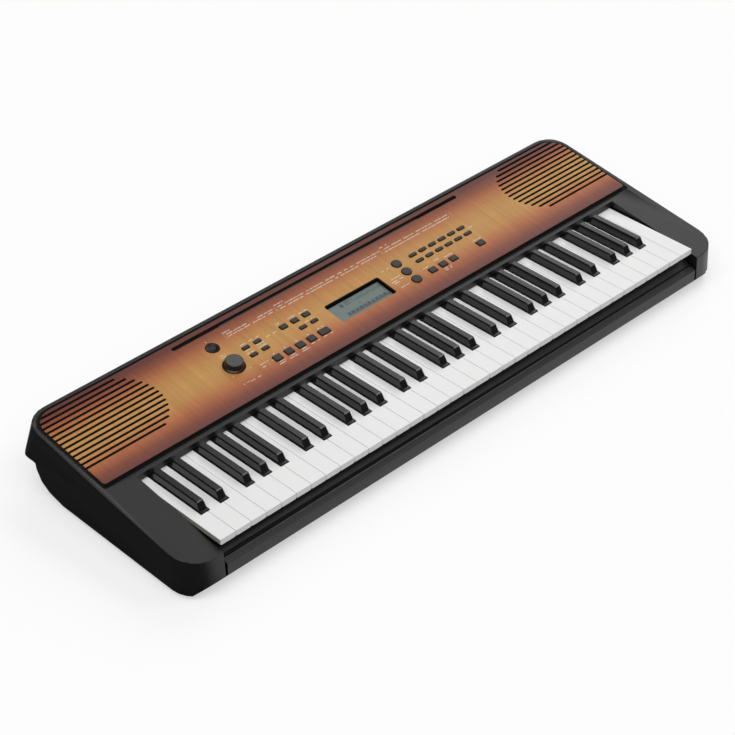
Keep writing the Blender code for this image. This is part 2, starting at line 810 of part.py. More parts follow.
def speakers(metal):
    """Two round drivers under the slotted ends of the panel."""
    top = FLOOR_UNDERSIDE - SEAT
    bottom = top - SPEAKER_DEPTH
    magnet = SPEAKER_FLANGE * 0.46
    for name, side in (("speaker_left", -1), ("speaker_right", 1)):
        driver = turned(
            name,
            [
                (0, top - 0.009),
                (0.012, top - 0.012),
                (0.014, top - 0.014),
                (SPEAKER_HOLE - 0.002, top - 0.002),
                (SPEAKER_HOLE, top),
                (SPEAKER_FLANGE, top),
                (SPEAKER_FLANGE, top - 0.003),
                (SPEAKER_FLANGE - 0.006, top - 0.004),
                (magnet + 0.006, top - 0.022),
                (magnet, top - 0.022),
                (magnet, bottom),
                (0, bottom),
            ],
            20,
            (side * SPEAKER_X, SLOT_CENTRE, 0),
            on_deck=True,
        )
        finish(driver, metal)


def socket_y(height):
    """Distance of the rear wall's inner face behind the key fronts, at a height over the white keys."""
    flare = REAR_FLARE / (deck_height(DECK_REAR) + 0.013)
    return DECK_REAR + flare * (deck_height(DECK_REAR) - height) - WALL


def socket_holes():
    """Round holes in the rear wall for the three sockets."""
    wall = behind(socket_y(SOCKET_HEIGHT))
    radius = BARREL_DIAMETER / 2 + BUTTON_CLEARANCE
    return [
        cylinder("socket_hole", radius, (x, above(SOCKET_HEIGHT)), wall - 0.004, wall + 0.012, 16, "Y")
        for x in (PHONES_X, PEDAL_X, POWER_INLET_X)
    ]


def socket(name, x, bore, pin=None):
    """A socket block behind the rear wall, its barrel in the wall's hole."""
    wall = behind(socket_y(SOCKET_HEIGHT))
    z = above(SOCKET_HEIGHT)
    half = SOCKET_BLOCK / 2
    block_rear = behind(socket_y(SOCKET_HEIGHT + half)) - SEAT
    block = box(name, (x - half, block_rear - SOCKET_DEPTH, z - half), (x + half, block_rear, z + half))
    face = wall + WALL
    barrel = cylinder(name + "_barrel", BARREL_DIAMETER / 2, (x, z), block_rear - 0.003, face, 16, "Y")
    hole = cylinder(name + "_bore", bore / 2, (x, z), face - SOCKET_DEPTH + 0.004, face + 0.01, 12, "Y")
    join(block, barrel)
    cut(block, hole)
    if pin:
        join(block, cylinder(name + "_pin", pin / 2, (x, z), face - SOCKET_DEPTH, face - 0.003, 8, "Y"))
    return block


def jack_board(board):
    """The small board with the headphone and pedal sockets, and the power inlet beside it."""
    phones = socket("jack_board", PHONES_X, PHONES_BORE)
    pedal = socket("pedal_socket", PEDAL_X, PHONES_BORE)
    wall = behind(socket_y(SOCKET_HEIGHT))
    top = above(SOCKET_HEIGHT) - SOCKET_BLOCK / 2
    plate = box(
        "jack_plate",
        (PHONES_X - SOCKET_BLOCK, wall - SOCKET_DEPTH - 0.008, top - BOARD_THICK),
        (PEDAL_X + SOCKET_BLOCK, wall - SEAT, top + 0.0006),
    )
    join(phones, pedal, plate)
    finish(phones, board)


def dc_inlet(plastic):
    """The barrel inlet for the mains adaptor."""
    finish(socket("dc_inlet", POWER_INLET_X, POWER_INLET_BORE, POWER_PIN), plastic)


def tray_plan(inset):
    """The lower case's outlines at its belly and above its rim, drawn in by inset, and those levels."""
    low, rim, high = -CASE_BOTTOM, part_line(PART_LINE_END), part_line(PART_LINE_END) + 0.01
    share = (high - low) / (rim - low)
    front = behind(-KEY_SETBACK + CASE_INSET + inset)
    rear = behind(DECK_REAR + REAR_FLARE - CASE_INSET - inset)
    wide, radius = CASE_HALF - CASE_INSET - inset, CORNER_RADIUS - inset
    low_plan = rounded(wide, wide + CASE_INSET - CASE_TUCK, front, rear, radius, radius)
    high_half = wide + (1 - share) * (CASE_INSET - CASE_TUCK)
    high_plan = rounded(wide, high_half, front, rear, radius, radius)
    return low_plan, above(low), high_plan, above(high)


def tray_block(name, profile, inset):
    """A side profile across the whole width, cut to the lower case's plan."""
    reach = CASE_HALF + 0.05
    block = outline_solid(name, profile, -reach, reach, across=True)
    plan = loft(name + "_plan", *tray_plan(inset))
    combine(block, "INTERSECT", [plan])
    return block


def lower_case(plastic):
    """The moulded bottom tray, with the front rail between the arms, the bed's posts and the battery bay."""
    rim = -SEAT
    front = -0.03
    nose = part_line(-KEY_SETBACK) + rim
    belly = -CASE_BOTTOM
    heel = PART_LINE_END - 0.0015
    shell = tray_block(
        "lower_case",
        key_frame(
            [
                (front, nose),
                (-KEY_SETBACK, nose),
                (PART_LINE_BEND, part_line(PART_LINE_BEND) + rim),
                (heel, part_line(heel) + rim),
                (heel - 0.0025, -0.033),
                (heel - 0.0105, -0.046),
                (heel - 0.0245, -0.056),
                (BELLY_REAR, belly),
                (BELLY_FRONT, belly),
                (-KEY_SETBACK + CASE_INSET, nose - 0.0012),
                (front, nose - 0.0012),
            ]
        ),
        0,
    )
    top = part_line(PART_LINE_END) + 0.008
    floor = belly + WALL
    hollow = tray_block(
        "lower_hollow",
        key_frame(
            [
                (-KEY_SETBACK + CASE_INSET + WALL, top),
                (-KEY_SETBACK + CASE_INSET + WALL, nose + 0.0004),
                (BELLY_FRONT + 0.001, floor),
                (BELLY_REAR - 0.001, floor),
                (heel - 0.0265, -0.0538),
                (heel - 0.0130, -0.0445),
                (heel - 0.0052, -0.0322),
                (heel - WALL, part_line(heel) - 0.001),
                (heel - WALL, top),
            ]
        ),
        WALL,
    )
    cut(shell, hollow)
    join(shell, front_rail(), *bed_posts(), *board_stands(), bay_tub())
    bay_left, bay_front = -BAY_WIDTH / 2, BAY_Y
    bay = box(
        "battery_bay",
        (bay_left, behind(bay_front), above(belly - 0.001)),
        (-bay_left, behind(bay_front + BAY_DEPTH), above(bay_ceiling())),
    )
    grow = COVER_LEDGE + COVER_GAP
    cover_seat = box(
        "cover_seat",
        (bay_left - grow, behind(bay_front) - grow, above(belly - 0.001)),
        (-bay_left + grow, behind(bay_front + BAY_DEPTH) + grow, above(belly + COVER_THICK + SEAT)),
    )
    cut(shell, bay, cover_seat)
    return finish(shell, plastic)


def bay_ceiling():
    """Height over the white keys of the battery bay's ceiling."""
    return -CASE_BOTTOM + COVER_THICK + SEAT + BAY_HEIGHT


def bay_tub():
    """The walls and roof of the battery bay, inside the lower case."""
    grow = COVER_LEDGE + COVER_GAP + BAY_WALL
    return box(
        "bay_tub",
        (-BAY_WIDTH / 2 - grow, behind(BAY_Y) - grow, above(-CASE_BOTTOM + 0.001)),
        (BAY_WIDTH / 2 + grow, behind(BAY_Y + BAY_DEPTH) + grow, above(bay_ceiling() + BAY_WALL)),
    )


def front_rail():
    """The rail that closes the case in front of the keys: a narrow lip, and a ramp that rises behind it."""
    face = -KEY_SETBACK + RAIL_SETBACK
    edge = face + RAIL_CHAMFER
    tip = edge + RAIL_RAMP_LENGTH
    tip_height = -RAIL_TOP + RAIL_RAMP_RISE
    root = part_line(-KEY_SETBACK) - 0.0012
    half = OPENING_HALF - RAIL_SIDE_GAP
    return outline_solid(
        "front_rail",
        key_frame(
            [
                (face, -RAIL_FACE_BOTTOM),
                (face, -RAIL_FACE_TOP),
                (edge, -RAIL_TOP),
                (edge + RAIL_LIP, -RAIL_TOP),
                (edge + RAIL_LIP, -RAIL_TOP - RAIL_GROOVE),
                (tip, tip_height),
                (tip, tip_height - WALL),
                (edge + 0.001, -RAIL_TOP - WALL),
                (face + WALL, -RAIL_FACE_TOP - 0.0015),
                (face + WALL, root),
                (face + 0.0010, root),
            ]
        ),
        -half,
        half,
        across=True,
    )


def bed_posts():
    """Posts on the lower case's floor that carry the key bed."""
    posts = []
    spread = OPENING_HALF - 0.026
    for share in (-1, -0.5, 0, 0.5, 1):
        for distance in (BED_FRONT + POST_SIZE, PIVOT_Y - POST_SIZE):
            low, high = rectangle(share * spread, behind(distance), POST_SIZE, POST_SIZE)
            foot = -CASE_BOTTOM + WALL / 2
            posts.append(box("bed_post", (*low, above(foot)), (*high, above(-BED_TOP - BED_THICK - SEAT))))
    return posts


def board_stands():
    """Four stands for the main board."""
    stands = []
    for x in (-MAIN_BOARD_WIDTH / 2 + STAND_INSET, MAIN_BOARD_WIDTH / 2 - STAND_INSET):
        for distance in (MAIN_BOARD_Y + STAND_INSET, MAIN_BOARD_Y + MAIN_BOARD_DEPTH - STAND_INSET):
            low, high = rectangle(x, behind(distance), STAND_SIZE, STAND_SIZE)
            top = -CASE_BOTTOM + WALL + MAIN_BOARD_LIFT
            stands.append(box("board_stand", (*low, above(-CASE_BOTTOM + WALL / 2)), (*high, above(top))))
    return stands


def main_board(board):
    """The main circuit board on its stands, with its chips, the amplifier's heat sink and capacitors."""
    bottom = -CASE_BOTTOM + WALL + MAIN_BOARD_LIFT + SEAT
    top = bottom + BOARD_THICK
    plate = box(
        "main_board",
        (-MAIN_BOARD_WIDTH / 2, behind(MAIN_BOARD_Y), above(bottom)),
        (MAIN_BOARD_WIDTH / 2, behind(MAIN_BOARD_Y + MAIN_BOARD_DEPTH), above(top)),
    )
    pieces = (
        ("processor", -0.030, 0.016, 0.022, 0.016, 0.002),
        ("memory", 0.010, 0.016, 0.014, 0.010, 0.0015),
        ("heat_sink", 0.055, 0.018, 0.030, 0.012, 0.014),
        ("capacitor", -0.070, 0.018, 0.010, 0.010, 0.012),
    )
    for name, x, y, width, depth, height in pieces:
        low, high = rectangle(x, behind(MAIN_BOARD_Y + y), width, depth)
        join(plate, box(name, (*low, above(top - 0.0006)), (*high, above(top + height))))
    return finish(plate, board)


def key_bed(plastic):
    """The tray under the keys, with the raised rail at its rear that their hinge feet stand on."""
    half = OPENING_HALF - BED_SIDE_GAP
    top, bottom = -BED_TOP, -BED_TOP - BED_THICK
    rail_top = -KEY_THICK - SEAT
    rail_front = PIVOT_Y - 0.001
    rail_rear = rail_front + RAIL_WIDTH
    tail = PIVOT_Y + BED_TAIL
    bed = outline_solid(
        "key_bed",
        key_frame(
            [
                (BED_FRONT, bottom),
                (tail, bottom),
                (tail, top),
                (rail_rear, top),
                (rail_rear, rail_top),
                (rail_front, rail_top),
                (rail_front, top),
                (BED_FRONT, top),
            ]
        ),
        -half,
        half,
        across=True,
    )
    return finish(bed, plastic)


def contacts(board, rubber):
    """The contact board on the key bed, and the rubber strip that returns the keys."""
    half = KEY_BLOCK / 2 - 0.006
    bottom = -BED_TOP + SEAT
    top = bottom + BOARD_THICK
    plate = box(
        "contact_board",
        (-half, behind(CONTACT_FRONT), above(bottom)),
        (half, behind(CONTACT_FRONT + CONTACT_DEPTH), above(top)),
    )
    finish(plate, board)
    foot = top + SEAT
    rib = 0.3 * RUBBER_DEPTH
    strip = outline_solid(
        "rubber_contacts",
        key_frame(
            [
                (RUBBER_FRONT, foot),
                (RUBBER_FRONT + RUBBER_DEPTH, foot),
                (RUBBER_FRONT + RUBBER_DEPTH, foot + 0.0015),
                (RUBBER_FRONT + RUBBER_DEPTH - rib, foot + RUBBER_HEIGHT),
                (RUBBER_FRONT + rib, foot + RUBBER_HEIGHT),
                (RUBBER_FRONT, foot + 0.0015),
            ]
        ),
        -half,
        half,
        across=True,
    )
    finish(strip, rubber)


def battery_cover(plastic):
    """The cover under the battery bay, flush with the bottom of the case."""
    grow = COVER_LEDGE
    low = (-BAY_WIDTH / 2 - grow, behind(BAY_Y) - grow, above(-CASE_BOTTOM))
    high = (BAY_WIDTH / 2 + grow, behind(BAY_Y + BAY_DEPTH) + grow, above(-CASE_BOTTOM + COVER_THICK))
    cover = box("battery_cover", low, high)
    grip_y = behind(BAY_Y) + 0.008
    for number in range(3):
        groove = box(
            "grip_groove",
            (-0.012, grip_y + number * 0.004, above(-CASE_BOTTOM - 0.001)),
            (0.012, grip_y + number * 0.004 + 0.0016, above(-CASE_BOTTOM + 0.0008)),
        )
        cut(cover, groove)
    middle = [(a + b) / 2 for a, b in zip(low, high)]
    return finish(cover, plastic, middle)


def rubber_feet(rubber):
    """Four round feet under the lower case."""
    height = KEY_TOP_Z - CASE_BOTTOM - SEAT
    for row, distance in (("front", RUBBER_FOOT_FRONT), ("rear", RUBBER_FOOT_REAR)):
        for side, x in (("left", -RUBBER_FOOT_X), ("right", RUBBER_FOOT_X)):
            foot = cylinder(f"foot_{row}_{side}", FOOT_DIAMETER / 2, (x, behind(distance)), 0, height, 16)
            finish(foot, rubber)


# Black keys by name, with the distance of their centre from the left end of their octave, in key pitches.
BLACK_CENTRES = {"c_sharp": 0.857, "d_sharp": 2.112, "f_sharp": 3.831, "g_sharp": 4.983, "a_sharp": 6.129}
WHITE_NAMES = ("c", "d", "e", "f", "g", "a", "b")
LOWEST_OCTAVE = 2
SINGLE_OCTAVES = (3, 4)
COMBS = {
    "white_comb": ("c", "e", "g", "b"),
    "middle_comb": ("d", "f", "a"),
    "black_comb": tuple(BLACK_CENTRES),
}


def octave_left(octave):
    """X of the left end of an octave."""
    return -KEY_BLOCK / 2 + (octave - LOWEST_OCTAVE) * 7 * KEY_PITCH


def white_sides(note, last=False):
    """Left and right sides of a white key's head and tail, from the left end of its octave."""
    index = WHITE_NAMES.index(note)
    left = index * KEY_PITCH + KEY_GAP / 2
    right = (index + 1) * KEY_PITCH - KEY_GAP / 2
    reach = BLACK_WIDTH / 2 + BLACK_CLEARANCE
    tail_left, tail_right = left, right
    for centre in BLACK_CENTRES.values():
        middle = centre * KEY_PITCH
        if last:
            continue
        if middle - reach < left < middle + reach:
            tail_left = middle + reach
        if middle - reach < right < middle + reach:
            tail_right = middle - reach
    return left, right, tail_left, tail_right


def key_centre(note, last=False):
    """Middle of a key's tail, from the left end of its octave."""
    if note in BLACK_CENTRES:
        return BLACK_CENTRES[note] * KEY_PITCH
    _, _, tail_left, tail_right = white_sides(note, last)
    return (tail_left + tail_right) / 2


def white_body(name, note, octave, last=False):
    """A white key: its head, and its tail between the black keys."""
    base = octave_left(octave)
    left, right, tail_left, tail_right = (base + side for side in white_sides(note, last))
    notch = behind(BLACK_FRONT - BLACK_CLEARANCE)
    front, rear = behind(0), behind(KEY_BODY_END)
    outline = [(left, front), (right, front)]
    if tail_right < right:
        outline += [(right, notch), (tail_right, notch)]
    outline += [(tail_right, rear), (tail_left, rear)]
    if tail_left > left:
        outline += [(tail_left, notch), (left, notch)]
    return outline_solid(name, outline, above(-KEY_THICK), above(0))


def black_body(name, note, octave):
    """A black key: narrower at the top, with a sloping front, and a low tail under the lip."""
    centre = octave_left(octave) + key_centre(note)
    rear = KEY_VISIBLE - BLACK_SETBACK
    profile = key_frame(
        [
            (BLACK_FRONT, -KEY_THICK),
            (BLACK_FRONT, BLACK_FOOT),
            (BLACK_FRONT + BLACK_LEAN, BLACK_RISE - BLACK_EDGE_DROP),
            (BLACK_FRONT + BLACK_LEAN + BLACK_EDGE, BLACK_RISE),
            (rear, BLACK_RISE),
            (rear + BLACK_REAR_SLOPE, 0),
            (KEY_BODY_END, 0),
            (KEY_BODY_END, -KEY_THICK),
        ]
    )
    key = outline_solid(name, profile, centre - BLACK_WIDTH / 2, centre + BLACK_WIDTH / 2, across=True)
    work = bmesh.new()
    work.from_mesh(key.data)
    drop = (BLACK_WIDTH - BLACK_TOP_WIDTH) / 2
    flank = (BLACK_WIDTH / 2, BLACK_FOOT, BLACK_RISE - BLACK_FOOT, drop)
    edge = (BLACK_TOP_WIDTH / 2 - BLACK_EDGE, BLACK_RISE, BLACK_EDGE_DROP, BLACK_EDGE)
    for side in (-1, 1):
        for out, height, across, up in (flank, edge):
            point = (centre + side * out, 0, above(height))
            normal = (side * across, 0, up)
            geometry = work.verts[:] + work.edges[:] + work.faces[:]
            bmesh.ops.bisect_plane(work, geom=geometry, plane_co=point, plane_no=normal, clear_outer=True)
            rim = [line for line in work.edges if line.is_boundary]
            bmesh.ops.holes_fill(work, edges=rim)
    bmesh.ops.recalc_face_normals(work, faces=work.faces)
    work.to_mesh(key.data)
    work.free()
    return key


def key_level(level):
    """Bottom of the hinge layer at this level, over the white keys' tops."""
    return -KEY_THICK + level * (TONGUE_THICK + LEVEL_GAP)


def tongue(note, octave, level, last=False):
    """The thin strip behind a key that bends where a moulded key set hinges."""
    centre = octave_left(octave) + key_centre(note, last)
    low = key_level(level)
    return box(
        "tongue",
        (centre - TONGUE_WIDTH / 2, behind(KEY_BODY_END - 0.001), above(low)),
        (centre + TONGUE_WIDTH / 2, behind(PIVOT_Y), above(low + TONGUE_THICK)),
    )


def key_bar(low_x, high_x, level):
    """The foot of one key, or the bar that joins a set of them, at the hinge."""
    low = key_level(level)
    return box(
        "key_bar",
        (low_x, behind(PIVOT_Y - FOOT_DEPTH / 2), above(low)),
        (high_x, behind(PIVOT_Y + FOOT_DEPTH / 2), above(low + TONGUE_THICK)),
    )


def hinge_point(x, level):
    return (x, behind(PIVOT_Y), above(key_level(level) + TONGUE_THICK / 2))


def body_of(name, note, octave, last=False):
    if note in BLACK_CENTRES:
        return black_body(name, note, octave)
    return white_body(name, note, octave, last)


def single_key(note, octave, surface, last=False):
    """A key on its own hinge foot."""
    name = f"key_{note}{octave}"
    key = body_of(name, note, octave, last)
    centre = octave_left(octave) + key_centre(note, last)
    join(
        key,
        tongue(note, octave, 0, last),
        key_bar(centre - FOOT_WIDTH / 2, centre + FOOT_WIDTH / 2, 0),
    )
    finish(key, surface, hinge_point(centre, 0))


def key_comb(kind, octave, level, surface):
    """A set of keys moulded in one piece, as a key bed of this class holds them: a bar with its keys."""
    notes = COMBS[kind]
    centres = [octave_left(octave) + key_centre(note) for note in notes]
    bar = key_bar(centres[0] - FOOT_WIDTH / 2, centres[-1] + FOOT_WIDTH / 2, level)
    bar.name = f"{kind}_{octave}"
    for note in notes:
        join(bar, tongue(note, octave, level), body_of("comb_key", note, octave))
    finish(bar, surface, hinge_point((centres[0] + centres[-1]) / 2, level))


def keys(white, black):
    """All the keys: two octaves of single keys, three of moulded sets, and the top C."""
    for octave in range(LOWEST_OCTAVE, LOWEST_OCTAVE + OCTAVES):
        if octave in SINGLE_OCTAVES:
            for note in (*WHITE_NAMES, *BLACK_CENTRES):
                single_key(note, octave, black if note in BLACK_CENTRES else white)
        else:
            for level, kind in enumerate(COMBS):
                key_comb(kind, octave, level, black if kind == "black_comb" else white)
    single_key("c", LOWEST_OCTAVE + OCTAVES, white, last=True)


def main():
    clear_scene()
    charcoal = material("charcoal_case", (0.055, 0.055, 0.058), 0.5)
    dark = material("dark_inner_plastic", (0.025, 0.025, 0.027), 0.6)
    amber = material("sunburst_panel", (0.45, 0.26, 0.11), 0.35)
    ivory = material("white_key", (0.80, 0.80, 0.78), 0.3)
    ebony = material("black_key", (0.030, 0.030, 0.032), 0.4)
    cap = material("button_cap", (0.045, 0.045, 0.048), 0.5)
    rubber = material("rubber", (0.03, 0.03, 0.03), 0.8)
    glass = material("display_glass", (0.25, 0.31, 0.28), 0.15)
    circuit = material("circuit_board", (0.05, 0.16, 0.08), 0.45)
    steel = material("speaker_steel", (0.30, 0.30, 0.31), 0.4, 1.0)
    upper_case(charcoal)
    lower_case(charcoal)
    top_panel(amber)
    display_module(glass)
    panel_board(circuit)
    speakers(steel)
    buttons(cap)
    power_button(cap)
    volume_knob(cap)
    key_bed(dark)
    contacts(circuit, rubber)
    main_board(circuit)
    jack_board(circuit)
    dc_inlet(dark)
    battery_cover(charcoal)
    rubber_feet(rubber)
    keys(ivory, ebony)


main()
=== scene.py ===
"""The looks of the portable arranger keyboard: every surface that shows, the camera and the light.

All sizes are metres in the part's own frame: +X along the keys to the right, +Y away from the
player, +Z up from the table. Places on the control panel are given in the deck's frame: x along
the keys, y up the slope from the front lip, z off the sloping deck.
"""

import math
import random

import bmesh
import bpy
from mathutils import Matrix, Vector


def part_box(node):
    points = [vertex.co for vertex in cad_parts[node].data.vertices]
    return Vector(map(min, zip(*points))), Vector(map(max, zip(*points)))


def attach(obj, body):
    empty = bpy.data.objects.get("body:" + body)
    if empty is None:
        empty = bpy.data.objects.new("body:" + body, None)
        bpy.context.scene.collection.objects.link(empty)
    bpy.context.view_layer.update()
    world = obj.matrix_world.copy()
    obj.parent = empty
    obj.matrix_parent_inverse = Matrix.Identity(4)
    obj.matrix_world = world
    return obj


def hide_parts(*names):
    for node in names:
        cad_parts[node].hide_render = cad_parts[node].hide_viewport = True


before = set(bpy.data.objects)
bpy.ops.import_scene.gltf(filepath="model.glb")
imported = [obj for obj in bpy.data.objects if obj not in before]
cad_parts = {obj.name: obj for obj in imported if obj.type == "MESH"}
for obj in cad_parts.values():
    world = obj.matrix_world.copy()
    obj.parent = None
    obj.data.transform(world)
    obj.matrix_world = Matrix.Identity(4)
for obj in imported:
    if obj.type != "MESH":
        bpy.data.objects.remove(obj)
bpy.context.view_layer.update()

# Camera. It stands to the front left of the instrument and looks down on it, in the place that the
# photograph was taken from, with a lens of the photograph's own angle of view.
CAMERA_PLACE = (-1.5294, -1.5607, 1.6380)
CAMERA_AZIMUTH = math.radians(-43.590)
CAMERA_ELEVATION = math.radians(36.687)
CAMERA_ROLL = math.radians(-0.835)
CAMERA_LENS = 102.2

camera_data = bpy.data.cameras.new("camera")
camera_data.lens = CAMERA_LENS
camera = bpy.data.objects.new("camera", camera_data)
bpy.context.collection.objects.link(camera)
camera.matrix_world = (
    Matrix.Translation(CAMERA_PLACE)
    @ Matrix.Rotation(CAMERA_AZIMUTH, 4, "Z")
    @ Matrix.Rotation(math.pi / 2 - CAMERA_ELEVATION, 4, "X")
    @ Matrix.Rotation(CAMERA_ROLL, 4, "Z")
)
bpy.context.scene.camera = camera

# Moulded case. Two shells of charcoal ABS with a fine satin texture from the mould: the top shell
# is the deck with its side walls and the two arms beside the keys, and the bottom shell hangs
# from it.
KEY_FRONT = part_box("key_c7")[0].y
KEY_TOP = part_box("key_c7")[1].z
DECK_SLOPE = math.radians(8.4)
DECK_SETBACK = 0.145
LIP_HEIGHT = 0.01075
OPENING_HALF = 0.426
RECESS_HALF = 0.4685
RECESS_FRONT = 0.0060
RECESS_REAR = 0.1552
RIM_ROUNDING = 0.0017
OPENING_ROUNDING = 0.0005
NOSE_ROUNDING = 0.0014
SHARP_ANGLE = math.radians(30)
SAME_PLACE = 0.0002
SAME_PLANE = 0.00008
DECK_ORIGIN = Vector((0, KEY_FRONT + DECK_SETBACK, KEY_TOP + LIP_HEIGHT))
DECK = Matrix.Translation(DECK_ORIGIN) @ Matrix.Rotation(DECK_SLOPE, 4, "X")
CHARCOAL = (0.0065, 0.0065, 0.0072, 1)

# The recess that takes the panel is duller than the deck and, but for the rest slot, painted near
# black: painted shade in the recess round the panel.
RECESS_SHADE = (0.0012, 0.0012, 0.0012, 1)
RECESS_DULLNESS = 0.6
RECESS_SHADE_MARGIN = 0.0004
RECESS_SHADE_DEPTH = 0.0036
RECESS_SHADE_EDGE = 0.0001
REST_ZONE_HALF = 0.256
REST_ZONE_ROWS = (0.1360, 0.1450)
REST_ZONE_EDGE = 0.0005


class Value:
    """An output of a shader node. Arithmetic on it adds Math nodes."""

    def __init__(self, finish, socket):
        self.finish = finish
        self.socket = socket

    def maths(self, operation, *others):
        return self.finish.node("Math", {"operation": operation}, [self, *others])

    def __add__(self, other):
        return self.maths("ADD", other)

    def __sub__(self, other):
        return self.maths("SUBTRACT", other)

    def __rsub__(self, other):
        return self.finish.node("Math", {"operation": "SUBTRACT"}, [other, self])

    def __mul__(self, other):
        return self.maths("MULTIPLY", other)

    def __pow__(self, other):
        return self.maths("POWER", other)

    __radd__ = __add__
    __rmul__ = __mul__

    def over(self, low, high):
        """0 below low, 1 above high and a straight ramp between them."""
        settings = {"interpolation_type": "LINEAR", "clamp": True}
        return self.finish.node("MapRange", settings, [self, low, high, 0.0, 1.0])

    def within(self, low, high, edge):
        """1 between low and high, falling to 0 outside over a soft edge."""
        return self.over(low - edge, low) * (1 - self.over(high, high + edge))


class Finish:
    """The material of one kind of surface: a Principled BSDF and the nodes that feed it."""

    def __init__(self, name, **sockets):
        self.material = bpy.data.materials.new(name)
        self.material.use_nodes = True
        self.tree = self.material.node_tree
        self.shader = self.tree.nodes["Principled BSDF"]
        for words, value in sockets.items():
            self.feed(words.replace("_", " ").title().replace("Ior", "IOR"), value)

    def feed(self, socket, value):
        """Sets or links one of the shader's sockets."""
        if isinstance(value, Value):
            self.tree.links.new(value.socket, self.shader.inputs[socket])
        else:
            self.shader.inputs[socket].default_value = value

    def node(self, kind, settings=None, inputs=(), output=0):
        """Adds a node, sets its settings, then its inputs by number or by name."""
        made = self.tree.nodes.new("ShaderNode" + kind)
        for name, value in (settings or {}).items():
            if name == "stops":
                self.set_stops(made.color_ramp, value)
            else:
                setattr(made, name, value)
        pairs = inputs.items() if isinstance(inputs, dict) else enumerate(inputs)
        for key, value in pairs:
            if isinstance(value, Value):
                self.tree.links.new(value.socket, made.inputs[key])
            else:
                made.inputs[key].default_value = value
        return Value(self, made.outputs[output])

    def set_stops(self, ramp, stops):
        """Writes a colour ramp's stops, each a place and a colour."""
        while len(ramp.elements) > 1:
            ramp.elements.remove(ramp.elements[-1])
        ramp.elements[0].position, ramp.elements[0].color = stops[0]
        for place, colour in stops[1:]:
            ramp.elements.new(place).color = colour

    def place(self, moved=(0, 0, 0), turned=(0, 0, 0), scaled=(1, 1, 1)):
        """Object coordinates, scaled, then turned, then moved."""
        raw = self.node("TexCoord", output="Object")
        return self.node("Mapping", {}, [raw, moved, turned, scaled])

    def on_deck(self):
        """Coordinates in the deck's frame, as separate x, y and z."""
        moved = Matrix.Rotation(-DECK_SLOPE, 3, "X") @ -DECK_ORIGIN
        point = self.place(moved=moved, turned=(-DECK_SLOPE, 0, 0))
        return self.parts(point)

    def parts(self, vector):
        """The x, y and z of a vector."""
        split = self.tree.nodes.new("ShaderNodeSeparateXYZ")
        self.tree.links.new(vector.socket, split.inputs[0])
        return [Value(self, socket) for socket in split.outputs]

    def noise(self, vector, scale, detail=2.0, roughness=0.5):
        inputs = {"Vector": vector, "Scale": scale, "Detail": detail, "Roughness": roughness}
        return self.node("TexNoise", {}, inputs)

    def mix(self, factor, first, second):
        """A colour between two others."""
        return self.node("Mix", {"data_type": "RGBA"}, {0: factor, 6: first, 7: second}, output=2)

    def tinted(self, colour, tint):
        """A colour multiplied by another."""
        settings = {"data_type": "RGBA", "blend_type": "MULTIPLY"}
        return self.node("Mix", settings, {0: 1.0, 6: colour, 7: tint}, output=2)

    def bump(self, height, depth, strength=1.0):
        """Feeds the shader's normal from a height between 0 and 1 and its depth in metres."""
        inputs = {"Height": height, "Distance": depth, "Strength": strength}
        self.feed("Normal", self.node("Bump", {}, inputs))


def case_plastic(name, colour, roughness):
    """Charcoal plastic with the mould's fine texture, duller in patches where hands rub it.

    Gives the finish, and the colour and the roughness that feed it.
    """
    plastic = Finish(name)
    place = plastic.place()
    grain = plastic.noise(place, 1500, 3)
    cloud = plastic.noise(place, 9, 3)
    rub = plastic.noise(place, 60, 4)
    dullness = roughness + (cloud - 0.5) * 0.08 + (rub - 0.5) * 0.05
    plastic.feed("Roughness", dullness)
    plastic.bump(grain, 0.00006, 0.5)
    darker, lighter = [(*[c * share for c in colour[:3]], 1) for share in (0.92, 1.08)]
    tint = plastic.mix(cloud, darker, lighter)
    plastic.feed("Base Color", tint)
    return plastic, tint, dullness


case_finish, case_tint, case_dullness = case_plastic("charcoal_case", CHARCOAL, 0.40)
deck_x, deck_y, deck_z = case_finish.on_deck()
recess_shade_half = RECESS_HALF + RECESS_SHADE_MARGIN
recess_shade_rows = RECESS_FRONT - RECESS_SHADE_MARGIN, RECESS_REAR + RECESS_SHADE_MARGIN
in_recess = (
    deck_x.within(-recess_shade_half, recess_shade_half, RECESS_SHADE_EDGE)
    * deck_y.within(*recess_shade_rows, RECESS_SHADE_EDGE)
    * deck_z.within(-RECESS_SHADE_DEPTH, -RECESS_SHADE_MARGIN, RECESS_SHADE_EDGE)
)
by_rest_slot = deck_x.within(-REST_ZONE_HALF, REST_ZONE_HALF, REST_ZONE_EDGE)
by_rest_slot = by_rest_slot * deck_y.within(*REST_ZONE_ROWS, REST_ZONE_EDGE)
# Painted shade: the recess's floor and walls take a near-black colour in place of the shade that
# falls in them, except by the rest slot.
recess_shaded = case_finish.mix(in_recess * (1 - by_rest_slot), case_tint, RECESS_SHADE)
case_finish.feed("Base Color", recess_shaded)
case_finish.feed("Roughness", case_dullness + in_recess * RECESS_DULLNESS)


def merged(node):
    """A copy of a CAD node's mesh, its loose triangles merged back into whole faces."""
    work = bmesh.new()
    work.from_mesh(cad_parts[node].data)
    bmesh.ops.remove_doubles(work, verts=work.verts, dist=2e-6)
    return work


def rounded(work, edges, width, segments, clamp=False):
    """Rounds edges of a bmesh."""
    bmesh.ops.bevel(
        work,
        geom=edges,
        offset=width,
        offset_type="OFFSET",
        affect="EDGES",
        segments=segments,
        profile=0.5,
        material=-1,
        clamp_overlap=clamp,
    )


def round_edges(work, chosen, width, segments):
    """Rounds the sharp edges of a bmesh that a test picks out."""
    edges = [
        edge
        for edge in work.edges
        if len(edge.link_faces) == 2 and edge.calc_face_angle() > SHARP_ANGLE and chosen(edge)
    ]
    rounded(work, edges, width, segments, clamp=True)


